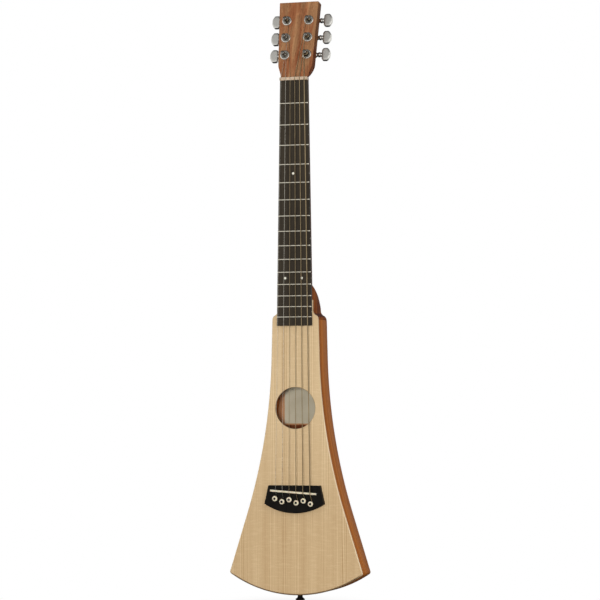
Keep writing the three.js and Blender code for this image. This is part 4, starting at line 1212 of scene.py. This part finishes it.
# The winding shows as ridges along the wire.
ridge_step = 0.4 * mm
bronze, spot = new_material("bronze winding", Metallic=1)
run = new_node("ShaderNodeAttribute", tree=spot.id_data, attribute_name="along")["Fac"]
turn = calc("FRACT", calc("DIVIDE", run, ridge_step))
ridge = calc("SINE", calc("MULTIPLY", turn, math.pi))
tarnish = calc("MULTIPLY", noise(spot, (0.003, 0.003, 0.02), 3), 0.7)
tarnish, worn = calc("ADD", tarnish, 0.35), calc("MULTIPLY", ridge, 0.3)
share = calc("SUBTRACT", tarnish, worn, clamp=True)
tint = blended(share, "#b8a482", "#786649")
finish(spot, tint, (0.36, 0.1, 0.002), ridge, 0.00004)

wire, given, out = new_group("string wire", {"Sides": "Int", "Material": "Material"})
curve = new_node("GeometryNodeMeshToCurve", {"Mesh": given["Geometry"]})[0]
gauge = new_node("GeometryNodeInputNamedAttribute", {"Name": "gauge"}, wire, data_type="FLOAT")[0]
length = new_node("GeometryNodeSplineParameter", tree=wire)["Length"]
marked = new_node(
    "GeometryNodeStoreNamedAttribute", {"Geometry": curve, "Name": "along", "Value": length},
    data_type="FLOAT", domain="POINT",
)[0]
circle = {"Resolution": given["Sides"], "Radius": 1}
ring = new_node("GeometryNodeCurvePrimitiveCircle", circle)[0]
tube = {"Curve": marked, "Profile Curve": ring, "Scale": gauge, "Fill Caps": True}
end_tree(given, out, new_node("GeometryNodeCurveToMesh", tube)[0])


def drawn(name, runs, material, sides):
    """Wires along (points, radius) lines."""
    mesh = bpy.data.meshes.new("paths")
    points, edges, radii = [], [], []
    for line, radius in runs:
        edges += [(len(points) + i, len(points) + i + 1) for i in range(len(line) - 1)]
        points += [tuple(point) for point in line]
        radii += [radius] * len(line)
    mesh.from_pydata(points, edges, [])
    mesh.attributes.new("gauge", "FLOAT", "POINT").data.foreach_set("value", radii)
    return grown(name, wire, mesh, {"Sides": sides, "Material": material}, crease=50)


def bent_line(corners, reach):
    """A line of straight runs with each corner bent over the given reach."""
    points = [corners[0]]
    for before, corner, after in zip(corners, corners[1:], corners[2:]):
        enter, leave = (
            corner + (way - corner).normalized() * min(reach, 0.4 * (way - corner).length)
            for way in (before, after)
        )
        points += bend(enter, corner, leave, 6)
    return points + [corners[-1]]


plain_runs, wound_runs, balls = [], [], []
turn_steps, coil_depth, post_neck = 40, 4.4 * mm, 2.3 * mm
for i, (name, gauge, loops) in enumerate(zip(string_names, gauges, (3, 3, 2, 2, 2, 2))):
    # The three thin strings go to the treble side, the thinnest one to the lowest post.
    tag, side, post_x, post_z = tuner_places[i + 3 if i < 3 else 5 - i]
    radius, nut_x, saddle_x = gauge / 2, nut_places[i], saddle_places[i]
    exit_x, exit_z = pin_places[i][0] + channel_x, pin_places[i][1] + channel_z
    nut_y = crown(nut_x) - slot_height - radius
    saddle_y = crown(saddle_x) - saddle_height - radius
    leave_nut = Vector((nut_x, nut_y, nut_thickness))
    corners = [
        Vector((exit_x, 13.5 * mm, exit_z)),
        Vector((exit_x, bridge_face - 0.5 * mm, exit_z)),
        Vector((saddle_x, saddle_y, saddle_line(saddle_x) - 0.5 * mm)),
        Vector((nut_x, nut_y, 0)),
        leave_nut,
    ]
    start_at = head.inverted() @ leave_nut
    coil = post_neck + radius + 0.03 * mm
    run_x, run_z = post_x - start_at.x, post_z - start_at.z
    first = math.atan2(run_z, run_x)
    first += side * (math.asin(coil / math.hypot(run_x, run_z)) + math.pi / 2)
    pitch = gauge + 0.12 * mm
    turns = []
    for step in range(loops * turn_steps + 1):
        angle = first - side * 2 * math.pi * step / turn_steps
        depth = coil_depth + radius + pitch * step / turn_steps
        x, z = post_x + coil * math.cos(angle), post_z + coil * math.sin(angle)
        turns.append(head @ Vector((x, -depth, z)))
    tail = (turns[-1] - turns[-2]).normalized() * 1.6 * mm
    turns += [turns[-1] + tail * 0.5, turns[-1] + tail]
    (plain_runs if i < 2 else wound_runs).append((bent_line(corners + turns[:1], 1.6 * mm), radius))
    balls.append(tuple(corners[0]))
    winding = drawn("winding_" + name, [(turns, radius)], steel if i < 2 else bronze, 12)
    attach(winding, "post_" + tag)

plain_strings = drawn("plain_strings", plain_runs, steel, 12)
wound_strings = drawn("wound_strings", wound_runs, bronze, 14)
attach(plain_strings, "guitar")
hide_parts("string_e", "string_b")
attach(wound_strings, "guitar")
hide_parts("string_g", "string_d", "string_a", "string_low_e")

line = [(0.5, -1.6), (1.8, -1.6), (1.8, -0.6), (1.3, 0), (1.8, 0.6), (1.8, 1.6), (0.5, 1.6)]
ball_form = turned("ball form", line, reach=0.2, steps=2, segments=20, ring=True)
ball_ends = repeated("ball_ends", ball_form, balls, bronze)
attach(ball_ends, "guitar")


# Strap button: a turned black plastic knob on the body's end, held by a cross-head steel screw that
# goes through the side into the tail block.
button_place = Matrix.Translation((0, 28.5 * mm, body_bottom))
button_place = button_place @ Matrix.Rotation(-math.pi / 2, 4, "X")
line = [
    (1.7, 0), (4.6, 0), (4.3, 0.8), (3.7, 1.8), (3.7, 2.9), (4.4, 4.6), (5.9, 5.9), (7, 6.6),
    (7, 8.2), (5.6, 9.3), (3.4, 9.3), (3.2, 7.9), (1.7, 7.7),
]
button = turned("strap_button_dressed", line, black_plastic, button_place, reach=0.5, ring=True)
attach(button, "guitar")
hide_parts("strap_button")
line = [(0, 9.1), (1.8, 9), (3, 8.4), (1.5, 7.9), (1.5, -13), (0, -15)]
screw = turned("strap_screw_dressed", line, steel, reach=0.2)
cut_cross(screw, 1.6, 0.35, 0.15, 8.1, 11)
screw.data.transform(button_place)
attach(screw, "guitar")
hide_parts("strap_button_screw")
